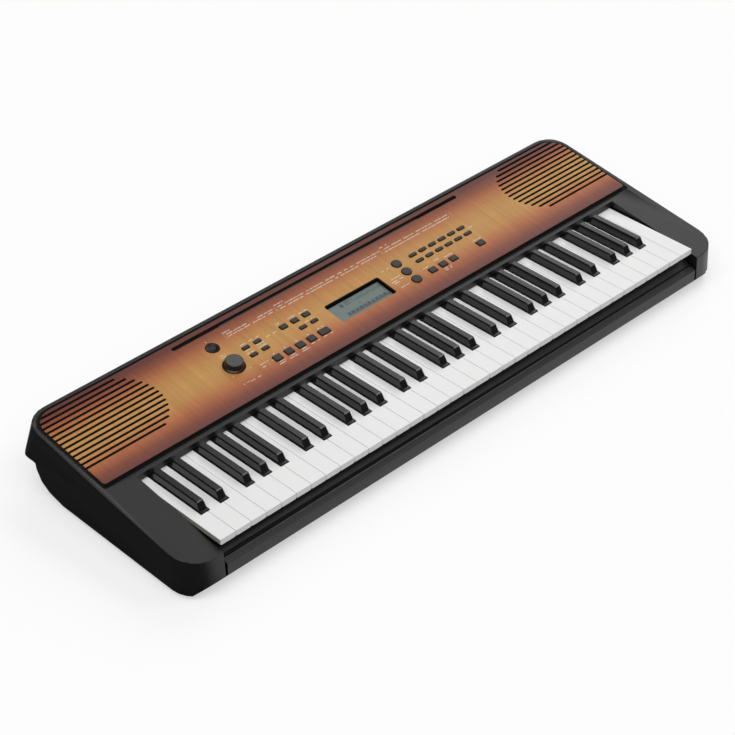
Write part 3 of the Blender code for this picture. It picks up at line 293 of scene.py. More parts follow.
def piece(name, work, finish, body, sharp=35):
    """Makes a bmesh a piece of the instrument that moves with a body."""
    for face in work.faces:
        face.smooth = True
    mesh = bpy.data.meshes.new(name)
    work.to_mesh(mesh)
    work.free()
    mesh.set_sharp_from_angle(angle=math.radians(sharp))
    made = bpy.data.objects.new(name, mesh)
    bpy.context.collection.objects.link(made)
    made.data.materials.append(finish.material)
    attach(made, body)
    return made


def flat_faces_first(made):
    """Keeps wide flat faces flat in the shading where they run into rounded edges."""
    weighted = made.modifiers.new("flat_faces", "WEIGHTED_NORMAL")
    weighted.keep_sharp = True
    weighted.weight = 80


def soften(made, width, segments):
    """Rounds all the sharp edges of a piece."""
    bevel = made.modifiers.new("edges", "BEVEL")
    bevel.width = width
    bevel.segments = segments
    bevel.limit_method = "ANGLE"
    bevel.angle_limit = SHARP_ANGLE
    flat_faces_first(made)


def in_deck(vertex):
    """A vertex's place in the deck's frame."""
    return DECK.inverted() @ vertex.co


def on_deck_plane(edge):
    return all(abs(in_deck(vertex).z) < SAME_PLANE for vertex in edge.verts)


def on_rim(edge):
    """True for the case's outer edge round the deck, and not for the recess or the key opening."""
    middle = sum((in_deck(vertex) for vertex in edge.verts), Vector()) / 2
    outside = abs(middle.x) > RECESS_HALF + 0.001 or middle.y > RECESS_REAR + 0.001
    beyond_keys = middle.y < -DECK_SETBACK and abs(middle.x) > OPENING_HALF + 0.0005
    return on_deck_plane(edge) and (outside or beyond_keys)


def on_key_opening(edge):
    """True for the edges of the deck round the opening for the keys."""
    middle = sum((in_deck(vertex) for vertex in edge.verts), Vector()) / 2
    beside = abs(abs(middle.x) - OPENING_HALF) < SAME_PLACE and middle.y < 0.001
    behind = abs(middle.y) < SAME_PLACE and abs(middle.x) < OPENING_HALF
    return on_deck_plane(edge) and (beside or behind)


def on_arm_nose(edge):
    """True for the upright edge at the front inner corner of each arm."""
    low, high = sorted(edge.verts, key=lambda vertex: vertex.co.z)
    upright = high.co.z - low.co.z > 0.01
    return upright and abs(abs(low.co.x) - OPENING_HALF) < SAME_PLACE and low.co.y < KEY_FRONT


case_mesh = merged("upper_case")
round_edges(case_mesh, on_rim, RIM_ROUNDING, 4)
round_edges(case_mesh, on_key_opening, OPENING_ROUNDING, 2)
round_edges(case_mesh, on_arm_nose, NOSE_ROUNDING, 4)
case_top = piece("case_top", case_mesh, case_finish, "case", sharp=32)
flat_faces_first(case_top)
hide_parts("upper_case")

# Bottom shell. The same plastic, a little darker and duller, with the rail that closes the front
# below the keys; it is screwed up into the top shell from below.
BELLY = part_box("lower_case")[0].z
RAIL_BELOW_KEYS = 0.0315
RAIL_ROUNDING = 0.0004
BOTTOM_CHARCOAL = (0.0055, 0.0055, 0.0060, 1)
bottom_finish, _, _ = case_plastic("charcoal_bottom", BOTTOM_CHARCOAL, 0.42)


def on_rail(edge):
    """True for the edges of the rail in front of the keys."""
    in_front = all(vertex.co.y < KEY_FRONT + 0.002 for vertex in edge.verts)
    return in_front and all(vertex.co.z > KEY_TOP - RAIL_BELOW_KEYS for vertex in edge.verts)


bottom_mesh = merged("lower_case")
round_edges(bottom_mesh, on_rail, RAIL_ROUNDING, 2)
case_bottom = piece("case_bottom", bottom_mesh, bottom_finish, "case", sharp=32)
flat_faces_first(case_bottom)
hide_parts("lower_case")

# Front trim. A thin bead of the case's plastic, but polished, along the upper edge of the rail,
# which catches a line of light, and behind it a matt black plate over the ramp that runs in under
# the keys: painted shade, a dark sheet that stands in for the keys' shadow on the ramp.
BEAD_FRONT = KEY_FRONT - 0.0033
BEAD_FOOT = KEY_TOP - 0.0276
BEAD_CLEARANCE = 0.0030
RAMP_CLEARANCE = 0.0037
BEAD_OUTLINE = [(0, 0), (0.0008, 0.0007), (0.0013, 0.0007), (0.0016, 0.0003)]
BEAD_OUTLINE += [(0.0016, -0.0004), (0, -0.0004)]
RAMP_OUTLINE = [(0.0024, 0.0003), (0.0160, 0.0057), (0.0160, 0.0052), (0.0024, -0.0002)]
BEAD_CHARCOAL = (0.0075, 0.0075, 0.0080, 1)
bead_finish, _, _ = case_plastic("polished_bead", BEAD_CHARCOAL, 0.22)
# Painted shade: near-black matt plastic for the sheets that stand in for shade under the keys and
# in the panel's front gap.
shade_black_finish = Finish("matt_black", base_color=(0.0020, 0.0020, 0.0020, 1), specular_ior_level=0.15)
shade_black_finish.feed("Roughness", 0.55 + shade_black_finish.noise(shade_black_finish.place(), 50, 3) * 0.1)


def prism(outline, reach):
    """A bar along the keys with an outline of (y, z) points."""
    work = bmesh.new()
    corners = [work.verts.new((-reach, BEAD_FRONT + y, BEAD_FOOT + z)) for y, z in outline]
    end = work.faces.new(corners)
    grown = bmesh.ops.extrude_face_region(work, geom=[end])["geom"]
    far = [item for item in grown if isinstance(item, bmesh.types.BMVert)]
    bmesh.ops.translate(work, vec=(2 * reach, 0, 0), verts=far)
    bmesh.ops.recalc_face_normals(work, faces=work.faces)
    return work


bead = prism(BEAD_OUTLINE, OPENING_HALF - BEAD_CLEARANCE)
piece("front_bead", bead, bead_finish, "case", sharp=20)
# Painted shade: the dark plate over the ramp under the keys.
ramp = prism(RAMP_OUTLINE, OPENING_HALF - RAMP_CLEARANCE)
piece("ramp_shade_plate", ramp, shade_black_finish, "case")

# Case screws. Blackened steel screws with low flat heads, driven up into the bottom shell from
# below; a raised cross stands for the cross slot of each.
SCREW_RADIUS = 0.0036
SCREW_PROUD = 0.0003
CROSS_REACH = SCREW_RADIUS * 0.6
CROSS_HALF = 0.0005
CROSS_PROUD = SCREW_PROUD + 0.00004
CROSS_TURN = 0.3
SCREW_PROFILE = [
    (0, SCREW_PROUD * 0.4),
    (SCREW_RADIUS * 0.3, SCREW_PROUD),
    (SCREW_RADIUS * 0.92, SCREW_PROUD),
    (SCREW_RADIUS, 0),
    (0, 0),
]
SCREW_PLACES = [(x, y) for x in (-0.44, -0.22, 0.22, 0.44) for y in (-0.115, 0.03)]
SCREW_PLACES += [(x, y) for x in (-0.30, -0.10, 0.10, 0.30) for y in (-0.118, 0.068)]

screw_finish = Finish("screw_steel", base_color=(0.05, 0.05, 0.052, 1), metallic=1.0)
screw_finish.feed("Roughness", 0.35 + screw_finish.noise(screw_finish.place(), 900) * 0.15)


def turned(work, profile, steps, place):
    """Spins a profile of (radius, height) round the Z axis into a closed shape and places it."""
    corners = [work.verts.new((radius, 0, height)) for radius, height in profile]
    edges = [work.edges.new(pair) for pair in zip(corners, corners[1:])]
    spun = bmesh.ops.spin(
        work,
        geom=corners + edges,
        cent=(0, 0, 0),
        axis=(0, 0, 1),
        dvec=(0, 0, 0),
        angle=2 * math.pi,
        steps=steps,
        use_merge=True,
        use_duplicate=False,
    )
    ends = [item for item in spun["geom_last"] if isinstance(item, bmesh.types.BMVert)]
    reached, fresh = set(), [v for v in corners + ends if v.is_valid]
    while fresh:
        vertex = fresh.pop()
        if vertex not in reached:
            reached.add(vertex)
            fresh += [other for edge in vertex.link_edges for other in edge.verts]
    bmesh.ops.remove_doubles(work, verts=list(reached), dist=1e-6)
    alive = [vertex for vertex in reached if vertex.is_valid]
    faces = {face for vertex in alive for face in vertex.link_faces}
    bmesh.ops.recalc_face_normals(work, faces=list(faces))
    bmesh.ops.transform(work, matrix=place, verts=alive)


def bar(work, low, high, place=Matrix.Identity(4)):
    """Adds a box between two corners."""
    size = [b - a for a, b in zip(low, high)]
    middle = [(a + b) / 2 for a, b in zip(low, high)]
    matrix = place @ Matrix.Translation(middle) @ Matrix.Diagonal((*size, 1))
    bmesh.ops.create_cube(work, size=1, matrix=matrix)


screws = bmesh.new()
for x, y in SCREW_PLACES:
    under = Matrix.Translation((x, y, BELLY)) @ Matrix.Rotation(math.pi, 4, "X")
    turned(screws, SCREW_PROFILE, 20, under)
    for turn in (CROSS_TURN, CROSS_TURN + math.pi / 2):
        arm = under @ Matrix.Rotation(turn, 4, "Z")
        bar(screws, (-CROSS_REACH, -CROSS_HALF, 0), (CROSS_REACH, CROSS_HALF, CROSS_PROUD), arm)
piece("case_screws", screws, screw_finish, "case")

# Feet. Four round pads of black rubber with a rounded tread and a hollowed middle, glued into the
# bottom shell.
TREAD_HEIGHT = 0.0022
HOLLOW = 0.0006
foot_finish = Finish("foot_rubber", base_color=(0.012, 0.012, 0.012, 1))
foot_finish.feed("Roughness", 0.75 + foot_finish.noise(foot_finish.place(), 300) * 0.15)
foot_finish.bump(foot_finish.noise(foot_finish.place(), 1200), 0.0001, 0.4)
for corner in ("front_left", "front_right", "rear_left", "rear_right"):
    low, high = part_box("foot_" + corner)
    radius = (high.x - low.x) / 2
    profile = [
        (0, high.z),
        (radius, high.z),
        (radius, TREAD_HEIGHT),
        (radius - 0.0012, 0.0004),
        (radius - 0.0030, 0),
        (radius - 0.0045, 0),
        (radius - 0.0050, HOLLOW),
        (0, HOLLOW),
    ]
    pad = bmesh.new()
    turned(pad, profile, 40, Matrix.Translation(((low.x + high.x) / 2, (low.y + high.y) / 2, 0)))
    foot = piece("rubber_foot_" + corner, pad, foot_finish, "case")
    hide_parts("foot_" + corner)

# Battery cover. A flat lid of the bottom shell's plastic, with three grooves for a finger to pull
# it off by.
cover_mesh = merged("battery_cover")
cover = piece("battery_lid", cover_mesh, bottom_finish, "battery_cover")
soften(cover, 0.0004, 2)
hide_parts("battery_cover")

# Speakers and grille cloth. A black woven cloth lies in the recess under the slotted ends of the
# panel, over two steel-framed drivers.
WEAVE_RATE = 3900
CLOTH_LOW, CLOTH_HIGH = -0.00226, -0.00206
CLOTH_INNER, CLOTH_OUTER = 0.306, 0.4675
CLOTH_FRONT, CLOTH_REAR = 0.036, 0.1335
cloth_finish = Finish("grille_cloth", base_color=(0.0022, 0.0022, 0.0022, 1), roughness=0.9)
weave_x, weave_y, _ = cloth_finish.on_deck()
weave = (weave_x * WEAVE_RATE).maths("SINE") * (weave_y * WEAVE_RATE).maths("SINE")
cloth_finish.bump(weave, 0.0001, 0.5)
cloth = bmesh.new()
for left, right in ((-CLOTH_OUTER, -CLOTH_INNER), (CLOTH_INNER, CLOTH_OUTER)):
    bar(cloth, (left, CLOTH_FRONT, CLOTH_LOW), (right, CLOTH_REAR, CLOTH_HIGH), DECK)
piece("grille_cloth", cloth, cloth_finish, "case")


def refinish(node, finish):
    """Gives a CAD node that stays in view another finish."""
    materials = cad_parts[node].data.materials
    materials.clear()
    materials.append(finish.material)


steel_finish = Finish("speaker_frame", base_color=(0.10, 0.10, 0.105, 1), metallic=0.8)
steel_finish.feed("Roughness", 0.4 + steel_finish.noise(steel_finish.place(), 400) * 0.2)
for node in ("speaker_left", "speaker_right"):
    refinish(node, steel_finish)

# Panel. A flat moulding with a printed sunburst: gold in the middle, red-brown and then dark brown
# towards the front and rear edges, over a fine brushed grain, with thirteen slots at each end.
PANEL_HALF = 0.465
PANEL_FRONT = 0.0117
PANEL_REAR = 0.1506
PANEL_LOW = -0.0019
PANEL_HIGH = 0.0020
PANEL_EDGE = 0.0005
REAR_CORNER = 0.0255
CORNER_GAP = 4
FRONT_CORNER = 0.004
SLOT_COUNT = 13
SLOT_PITCH = 0.00826
SLOT_WIDTH = 0.0035
SLOT_CENTRE = 0.0947
SPEAKER_X = 0.370
GRILLE_RADIUS = 0.056
HOLE_CLEARANCE = 0.0004
REST_HALF = 0.255
REST_CENTRE = 0.14075
REST_WIDTH = 0.0057
SCREEN_HALF = 0.0484
SCREEN_FRONT = 0.0464
SCREEN_REAR = 0.0837
SCREEN_CORNER = 0.003
ROW_FRONT = 0.0484
ROW_MIDDLE = 0.0711
ROW_REAR = 0.0870
POWER_PLACE = (-0.2124, 0.1126)
POWER_RADIUS = 0.00925
KNOB_PLACE = (-0.2131, 0.0708)
KNOB_HOLE = 0.004

# Each strip of buttons: x, y, width, depth and shape of its caps.
BUTTONS = {
    "function_buttons": [
        (x, y, 0.0110, 0.0052, "square") for x in (-0.1793, -0.1599) for y in (ROW_MIDDLE, ROW_REAR)
    ],
    "transport_buttons": [
        *[(-0.1598 + i * 0.0193, ROW_FRONT, 0.0120, 0.0100, "square") for i in range(4)],
        (-0.0800, ROW_FRONT, 0.0164, 0.0100, "square"),
    ],
    "song_buttons": [
        *[(-0.1154 + i * 0.0194, ROW_REAR, 0.0110, 0.0074, "square") for i in range(3)],
        *[(-0.1154 + i * 0.0194, ROW_MIDDLE, 0.0110, 0.0052, "square") for i in (1, 2)],
    ],
    "category_buttons": [
        (0.0870, ROW_FRONT + i * 0.01925, 0.0142, 0.0142, "round") for i in range(3)
    ],
    "number_buttons": [
        (0.1177 + i * 0.01838, ROW_REAR - row * 0.0136, 0.0130, 0.0052, "pill")
        for row in range(2)
        for i in range(6)
    ],
    "mode_buttons": [
        *[(0.1175 + i * 0.0195, ROW_FRONT, 0.0120, 0.0092, "square") for i in range(3)],
        (0.2095, ROW_FRONT, 0.0120, 0.0092, "square"),
    ],
}


def arc(centre, radius, start, end, steps):
    """Points on an arc, angles in degrees."""
    turns = [math.radians(start + (end - start) * i / steps) for i in range(steps + 1)]
    return [(centre[0] + radius * math.cos(t), centre[1] + radius * math.sin(t)) for t in turns]


def cap_outline(x, y, width, depth, shape, grow=0.0):
    """The plan of one button, anticlockwise."""
    w, d = width / 2 + grow, depth / 2 + grow
    if shape == "round":
        return arc((x, y), w, 0, 360, 48)[:-1]
    radius, steps = {"pill": (d - 0.0003, 6), "square": (0.0013, 3)}[shape]
    corners = [(x + w - radius, y - d + radius, -90), (x + w - radius, y + d - radius, 0)]
    corners += [(x - w + radius, y + d - radius, 90), (x - w + radius, y - d + radius, 180)]
    return [p for cx, cy, start in corners for p in arc((cx, cy), radius, start, start + 90, steps)]


def flat_plate(outer, holes, low, high, edge, place):
    """A plate with holes and rounded edges: closed outlines with a thickness, then put in place."""
    curve = bpy.data.curves.new("plate", "CURVE")
    curve.dimensions = "2D"
    curve.fill_mode = "BOTH"
    curve.extrude = (high - low) / 2 - edge
    curve.bevel_depth = edge
    curve.bevel_resolution = 1
    curve.offset = -edge
    for number, points in enumerate([outer, *holes]):
        ordered = points if number == 0 else points[::-1]
        spline = curve.splines.new("POLY")
        spline.points.add(len(ordered) - 1)
        for corner, (x, y) in zip(spline.points, ordered):
            corner.co = (x, y, 0, 1)
        spline.use_cyclic_u = True
    holder = bpy.data.objects.new("plate", curve)
    mesh = bpy.data.meshes.new_from_object(holder)
    work = bmesh.new()
    work.from_mesh(mesh)
    bpy.data.objects.remove(holder)
    bpy.data.meshes.remove(mesh)
    bmesh.ops.remove_doubles(work, verts=work.verts, dist=1e-6)
    bmesh.ops.recalc_face_normals(work, faces=work.faces)
    middle = Matrix.Translation((0, 0, (low + high) / 2))
    bmesh.ops.transform(work, matrix=place @ middle, verts=work.verts)
    return work


def slotted_outline():
    """The panel's outline, with the slots of both grilles let in from its two ends."""
    half = SLOT_WIDTH / 2
    rows = [(i - (SLOT_COUNT - 1) / 2) * SLOT_PITCH for i in range(SLOT_COUNT)]

    def edge_x(y):
        """Half the panel's width at a row, less in its rear corner."""
        into = y - (PANEL_REAR - REAR_CORNER)
        if into <= 0:
            return PANEL_HALF
        return PANEL_HALF - REAR_CORNER + math.sqrt(max(REAR_CORNER**2 - into**2, 0))

    right = arc((PANEL_HALF - FRONT_CORNER, PANEL_FRONT + FRONT_CORNER), FRONT_CORNER, -90, 0, 6)
    for offset in rows:
        y = SLOT_CENTRE + offset
        inner = SPEAKER_X - math.sqrt(GRILLE_RADIUS**2 - offset**2) + half
        right.append((edge_x(y - half), y - half))
        right += arc((inner, y), half, -90, -270, 8)
        right.append((edge_x(y + half), y + half))
    last = rows[-1] + SLOT_CENTRE + half
    start = math.degrees(math.asin((last - (PANEL_REAR - REAR_CORNER)) / REAR_CORNER))
    rear_centre = PANEL_HALF - REAR_CORNER, PANEL_REAR - REAR_CORNER
    right += arc(rear_centre, REAR_CORNER, start + CORNER_GAP, 90, 10)
    return right + [(-x, y) for x, y in reversed(right)]


def stadium(half, centre, width):
    """A long slot with round ends."""
    r = width / 2
    return arc((half - r, centre), r, -90, 90, 8) + arc((r - half, centre), r, 90, 270, 8)


def rounded_window(half, front, rear, radius):
    """A window with four round corners."""
    corners = [(half - radius, front + radius, -90), (half - radius, rear - radius, 0)]
    corners += [(radius - half, rear - radius, 90), (radius - half, front + radius, 180)]
    return [p for x, y, start in corners for p in arc((x, y), radius, start, start + 90, 6)]


holes = [stadium(REST_HALF, REST_CENTRE, REST_WIDTH)]
holes.append(rounded_window(SCREEN_HALF, SCREEN_FRONT, SCREEN_REAR, SCREEN_CORNER))
holes.append(arc(POWER_PLACE, POWER_RADIUS + HOLE_CLEARANCE, 0, 360, 48)[:-1])
holes.append(arc(KNOB_PLACE, KNOB_HOLE, 0, 360, 24)[:-1])
for caps in BUTTONS.values():
    holes += [cap_outline(*cap, HOLE_CLEARANCE) for cap in caps]
panel_mesh = flat_plate(slotted_outline(), holes, PANEL_LOW, PANEL_HIGH, PANEL_EDGE, DECK)

PRINTED_ABOVE = (0.0012, 0.0016)
BARE_PLASTIC = (0.004, 0.004, 0.004, 1)
panel_finish = Finish("sunburst_panel")
_, panel_y, panel_z = panel_finish.on_deck()
panel_depth = PANEL_REAR - PANEL_FRONT
drift = panel_finish.noise(panel_finish.place(scaled=(3, 1, 1)), 2.0, 2) * 0.02 - 0.01
along = (panel_y - PANEL_FRONT) * (1 / panel_depth) + drift
sunburst = panel_finish.node(
    "ValToRGB",
    {
        "stops": [
            (0.03, (0.133, 0.031, 0.019, 1)),
            (0.10, (0.205, 0.047, 0.019, 1)),
            (0.19, (0.355, 0.100, 0.030, 1)),
            (0.27, (0.440, 0.160, 0.042, 1)),
            (0.36, (0.485, 0.235, 0.058, 1)),
            (0.50, (0.500, 0.262, 0.062, 1)),
            (0.62, (0.475, 0.225, 0.050, 1)),
            (0.74, (0.410, 0.140, 0.033, 1)),
            (0.85, (0.240, 0.052, 0.012, 1)),
            (0.95, (0.105, 0.015, 0.004, 1)),
        ]
    },
    [along],
)
figure = panel_finish.noise(panel_finish.place(scaled=(150, 9, 9)), 1.0, 4, 0.62)
hairlines = panel_finish.noise(panel_finish.place(scaled=(9, 900, 900)), 1.0)
stripe = (figure - 0.5) * 1.7 + (hairlines - 0.5) * 0.35 + 0.5
dark_grain = panel_finish.tinted(sunburst, (0.84, 0.78, 0.72, 1))
light_grain = panel_finish.tinted(sunburst, (1.10, 1.12, 1.15, 1))
streaked = panel_finish.mix(stripe.over(0.0, 1.0), dark_grain, light_grain)
on_face = panel_z.over(*PRINTED_ABOVE)
panel_finish.feed("Base Color", panel_finish.mix(on_face, BARE_PLASTIC, streaked))
panel_finish.feed("Roughness", 1 - on_face * 0.56 + (hairlines - 0.5) * 0.10)
panel_finish.bump(hairlines, 0.00003, 0.3)
panel = piece("control_panel", panel_mesh, panel_finish, "case")
flat_faces_first(panel)
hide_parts("top_panel")

# Gap shade and rest ledge. A matt black strip lies in the gap before the panel's front edge,
# painted shade for that gap; a ledge of dark grey plastic fills the front of the music rest's slot.
GAP_SHADE_HALF = 0.4676
GAP_SHADE_FRONT, GAP_SHADE_REAR = RECESS_FRONT + 0.0002, PANEL_FRONT + 0.0006
LEDGE_HALF = 0.178
LEDGE_FRONT, LEDGE_REAR = REST_CENTRE - REST_WIDTH / 2 + 0.0001, REST_CENTRE - 0.0004
LEDGE_LOW, LEDGE_HIGH = -0.0030, 0.0002
# Painted shade: a dark strip where the gap in front of the panel falls into shadow.
gap_shade = bmesh.new()
bar(gap_shade, (-GAP_SHADE_HALF, GAP_SHADE_FRONT, CLOTH_LOW), (GAP_SHADE_HALF, GAP_SHADE_REAR, CLOTH_HIGH), DECK)
piece("panel_gap_shade", gap_shade, shade_black_finish, "case")

inner_plastic = Finish("dark_grey_plastic", base_color=(0.022, 0.022, 0.023, 1))
inner_plastic.feed("Roughness", 0.45 + inner_plastic.noise(inner_plastic.place(), 80) * 0.15)
ledge = bmesh.new()
bar(ledge, (-LEDGE_HALF, LEDGE_FRONT, LEDGE_LOW), (LEDGE_HALF, LEDGE_REAR, LEDGE_HIGH), DECK)
piece("rest_ledge", ledge, inner_plastic, "case")

# Print. White silk-screened marks beside the controls; where the real panel has words, these are
# plain rows of short dashes.
PRINT_LOW, PRINT_HIGH = PANEL_HIGH - 0.00002, PANEL_HIGH + 0.00004
LETTER_WIDTH = 0.0009
LETTER_STEP = 0.00125
LETTER_HEIGHT = 0.0015
WORD_LENGTHS = (4, 8)
WORD_GAPS = (0.0012, 0.0012, 0.0050)
SIGN_COLUMNS = (-0.1589, -0.1400, -0.1206, -0.1011, -0.0828, -0.0763)
SIGN_FOOT = 0.0562
SIGN_WIDTH, SIGN_HEIGHT = 0.0020, 0.0016
DOT_REACH = 0.0006
DOT_PLACES = [(-0.2123, 0.1256), (-0.1988, 0.0557), (-0.2265, 0.0564), (-0.2248, 0.0379)]
DOT_PLACES += [(-0.0767, 0.0766)]
LINE_HEIGHT = 0.0004
LIST_COLUMNS = (-0.186, -0.1006, 0.0876, 0.2220)
LIST_FOOT, LIST_HEIGHT = 0.1130, 0.0100
COLUMN_LINE_WIDTH = 0.0002

print_finish = Finish("white_print")
print_finish.feed("Roughness", 0.5)
thin = print_finish.noise(print_finish.place(), 900, 2)
print_colour = print_finish.mix(thin, (0.55, 0.50, 0.42, 1), (0.78, 0.75, 0.68, 1))
print_finish.feed("Base Color", print_colour)
letters = random.Random(61)
marks = bmesh.new()


def dash(x, y, width, height):
    """One printed block, from its left front corner."""
    bar(marks, (x, y, PRINT_LOW), (x + width, y + height, PRINT_HIGH), DECK)


def words(left, right, y):
    """A row of small blocks between two places, with gaps, that reads as words from a distance."""
    x, letters_left = left, letters.randint(*WORD_LENGTHS)
    while x < right - LETTER_WIDTH:
        height = LETTER_HEIGHT * letters.choice((0.7, 1.0, 1.0))
        dash(x, y - LETTER_HEIGHT / 2, LETTER_WIDTH, height)
        x, letters_left = x + LETTER_STEP, letters_left - 1
        if letters_left == 0:
            x, letters_left = x + letters.choice(WORD_GAPS), letters.randint(*WORD_LENGTHS)


# Each row: left and right ends and height up the deck, in millimetres.
ROWS = [
    # The voice and rhythm list behind the display.
    (-185.7, -172.4, 125.5), (-98, -83, 125), (91, 105, 124.5),
    (-182, -147, 121), (-130, -104, 120.8), (-95.5, 87, 120.3), (95, 218.5, 119.6),
    (-183, -107, 116.8), (-95, 77, 115.5), (92, 215, 114.3),
    # Power button, knob and the button strips left of the display.
    (-216, -207, 94.5), (-216, -207, 90.5), (-214, -198, 37),
    (-182.7, -174.2, 94), (-168.7, -151.4, 94), (-184, -175, 82.3), (-167, -152, 82.3),
    (-186, -175.5, 77), (-167, -153.5, 77), (-145.5, -127.2, 86.5),
    (-121, -109, 96), (-101, -88, 95), (-84, -69, 93.5), (-88.6, -82.3, 76.6),
    (-162.4, -154, 41), (-165.5, -154.5, 37.5), (-144, -136, 41), (-148.5, -132.4, 37.5),
    (-125, -117, 41), (-126.7, -114, 37.5), (-109, -93.6, 41), (-87.7, -71.4, 41),
    (-186, -172, 52), (-186, -174, 46.5),
    # The strips right of the display.
    (59.4, 73.5, 87.6), (58.5, 75, 68), (55.3, 77, 62.6), (57, 68.5, 59.2), (58.7, 74.2, 48.5),
    (108, 122.5, 57.5), (130.6, 146, 61), (148, 164, 57.5), (202, 218, 57), (218.6, 227, 81),
    (130.6, 145, 40.2), (130.6, 143, 36.9),
]
for left, right, y in ROWS:
    words(left / 1000, right / 1000, y / 1000)
for x in SIGN_COLUMNS:
    dash(x - SIGN_WIDTH / 2, SIGN_FOOT, SIGN_WIDTH, SIGN_HEIGHT)
for x, y in DOT_PLACES:
    dash(x - DOT_REACH, y - DOT_REACH, DOT_REACH * 2, DOT_REACH * 2)
dash(-0.2210, 0.0378, 0.0065, LINE_HEIGHT)
dash(-0.1704, 0.0481, 0.0049, LINE_HEIGHT)
for x in LIST_COLUMNS:
    dash(x, LIST_FOOT, COLUMN_LINE_WIDTH, LIST_HEIGHT)
piece("panel_print", marks, print_finish, "case")

# Display. A reflective liquid crystal behind a clear face, sunk below the panel, with a black mask
# along its right and rear edges; its signs and numerals are plain dark segments.
GLASS_Z = -0.0035
DISPLAY_LOW, DISPLAY_HIGH = (-0.0514, 0.0434, -0.0088), (0.0514, 0.0867, GLASS_Z)
MASK_RIGHT = (0.0460, 0.0463)
MASK_REAR = (0.0806, 0.0809)
MASK_BLACK = (0.004, 0.004, 0.004, 1)
CRYSTAL_LEFT, CRYSTAL_RIGHT = (0.098, 0.142, 0.131, 1), (0.090, 0.131, 0.120, 1)
lcd_finish = Finish("display_face", roughness=0.22)
lcd_x, lcd_y, _ = lcd_finish.on_deck()
crystal = lcd_finish.mix(lcd_x.over(-0.05, 0.05), CRYSTAL_LEFT, CRYSTAL_RIGHT)
in_mask = lcd_x.over(*MASK_RIGHT).maths("MAXIMUM", lcd_y.over(*MASK_REAR))
lcd_finish.feed("Base Color", lcd_finish.mix(in_mask, crystal, MASK_BLACK))
display = bmesh.new()
bar(display, DISPLAY_LOW, DISPLAY_HIGH, DECK)
display_block = piece("display_glass", display, lcd_finish, "case")
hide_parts("display_module")

SEGMENT_LOW, SEGMENT_HIGH = GLASS_Z - 0.00002, GLASS_Z + 0.00004
INK_DARK, INK_LIGHT = (0.016, 0.026, 0.025, 1), (0.026, 0.038, 0.036, 1)
segment_finish = Finish("display_segments", roughness=0.3)
ink_cloud = segment_finish.noise(segment_finish.place(), 200)
segment_finish.feed("Base Color", segment_finish.mix(ink_cloud, INK_DARK, INK_LIGHT))
segments = bmesh.new()

# The bars that show each numeral from 0 to 9, named a to g clockwise from the top, g in the middle.
LIT_BARS = ["abcdef", "bc", "abged", "abgcd", "fgbc", "afgcd", "afgedc", "abc", "abcdefg", "abcdfg"]


def lit(x, y, width, height):
    """One dark segment, from its left front corner."""
    bar(segments, (x, y, SEGMENT_LOW), (x + width, y + height, SEGMENT_HIGH), DECK)


def seven_segments(x, y, tall, digit):
    """One numeral made of up to seven bars."""
    wide, bar_width = tall * 0.5, tall * 0.16
    half = tall / 2
    places = {
        "a": (x + bar_width, y + tall - bar_width, wide - 2 * bar_width, bar_width),
        "b": (x + wide - bar_width, y + half, bar_width, half - bar_width / 2),
        "c": (x + wide - bar_width, y + bar_width / 2, bar_width, half - bar_width),
        "d": (x + bar_width, y, wide - 2 * bar_width, bar_width),
        "e": (x, y + bar_width / 2, bar_width, half - bar_width),
        "f": (x, y + half, bar_width, half - bar_width / 2),
        "g": (x + bar_width, y + half - bar_width / 2, wide - 2 * bar_width, bar_width),
    }
    for name in LIT_BARS[digit]:
        lit(*places[name])


UPPER_LINE = 0.0712
NUMERALS_LEFT, NUMERAL_STEP, NUMERAL_HEIGHT = -0.0178, 0.0048, 0.0078
for number, digit in enumerate((0, 0, 1)):
    seven_segments(NUMERALS_LEFT + number * NUMERAL_STEP, UPPER_LINE, NUMERAL_HEIGHT, digit)

# A block left of the numerals, and two small signs in front of them.
lit(-0.0272, 0.0716, 0.0052, 0.0062)
lit(-0.0400, 0.0664, 0.0028, 0.0010)
lit(-0.0012, 0.0642, 0.0024, 0.0026)

# Nine groups of bars right of the numerals, where the real display has letters.
GROUPS_LEFT, GROUP_STEP = -0.0010, 0.0052
for number in range(9):
    place = GROUPS_LEFT + number * GROUP_STEP
    lit(place, UPPER_LINE, 0.0009, 0.0076 if number % 2 else 0.0052)
    lit(place + 0.0012, UPPER_LINE + 0.0020 * (number % 3), 0.0022, 0.0010)
    lit(place + 0.0026, UPPER_LINE, 0.0008, 0.0050)

# The row of 36 small keys along the front of the display.
SMALL_KEY_COUNT = 36
SMALL_KEY_STEP = 0.002028
SMALL_KEYS_LEFT = -0.0290
lit(SMALL_KEYS_LEFT, 0.0534, 0.0730, 0.0006)
for number in range(SMALL_KEY_COUNT):
    place = SMALL_KEYS_LEFT + number * SMALL_KEY_STEP
    lit(place, 0.0538, 0.0014, 0.0024)
    if number % 7 not in (2, 6) and number < SMALL_KEY_COUNT - 1:
        lit(place + 0.0008, 0.0560, 0.0019, 0.0038)
piece("display_segments", segments, segment_finish, "case")

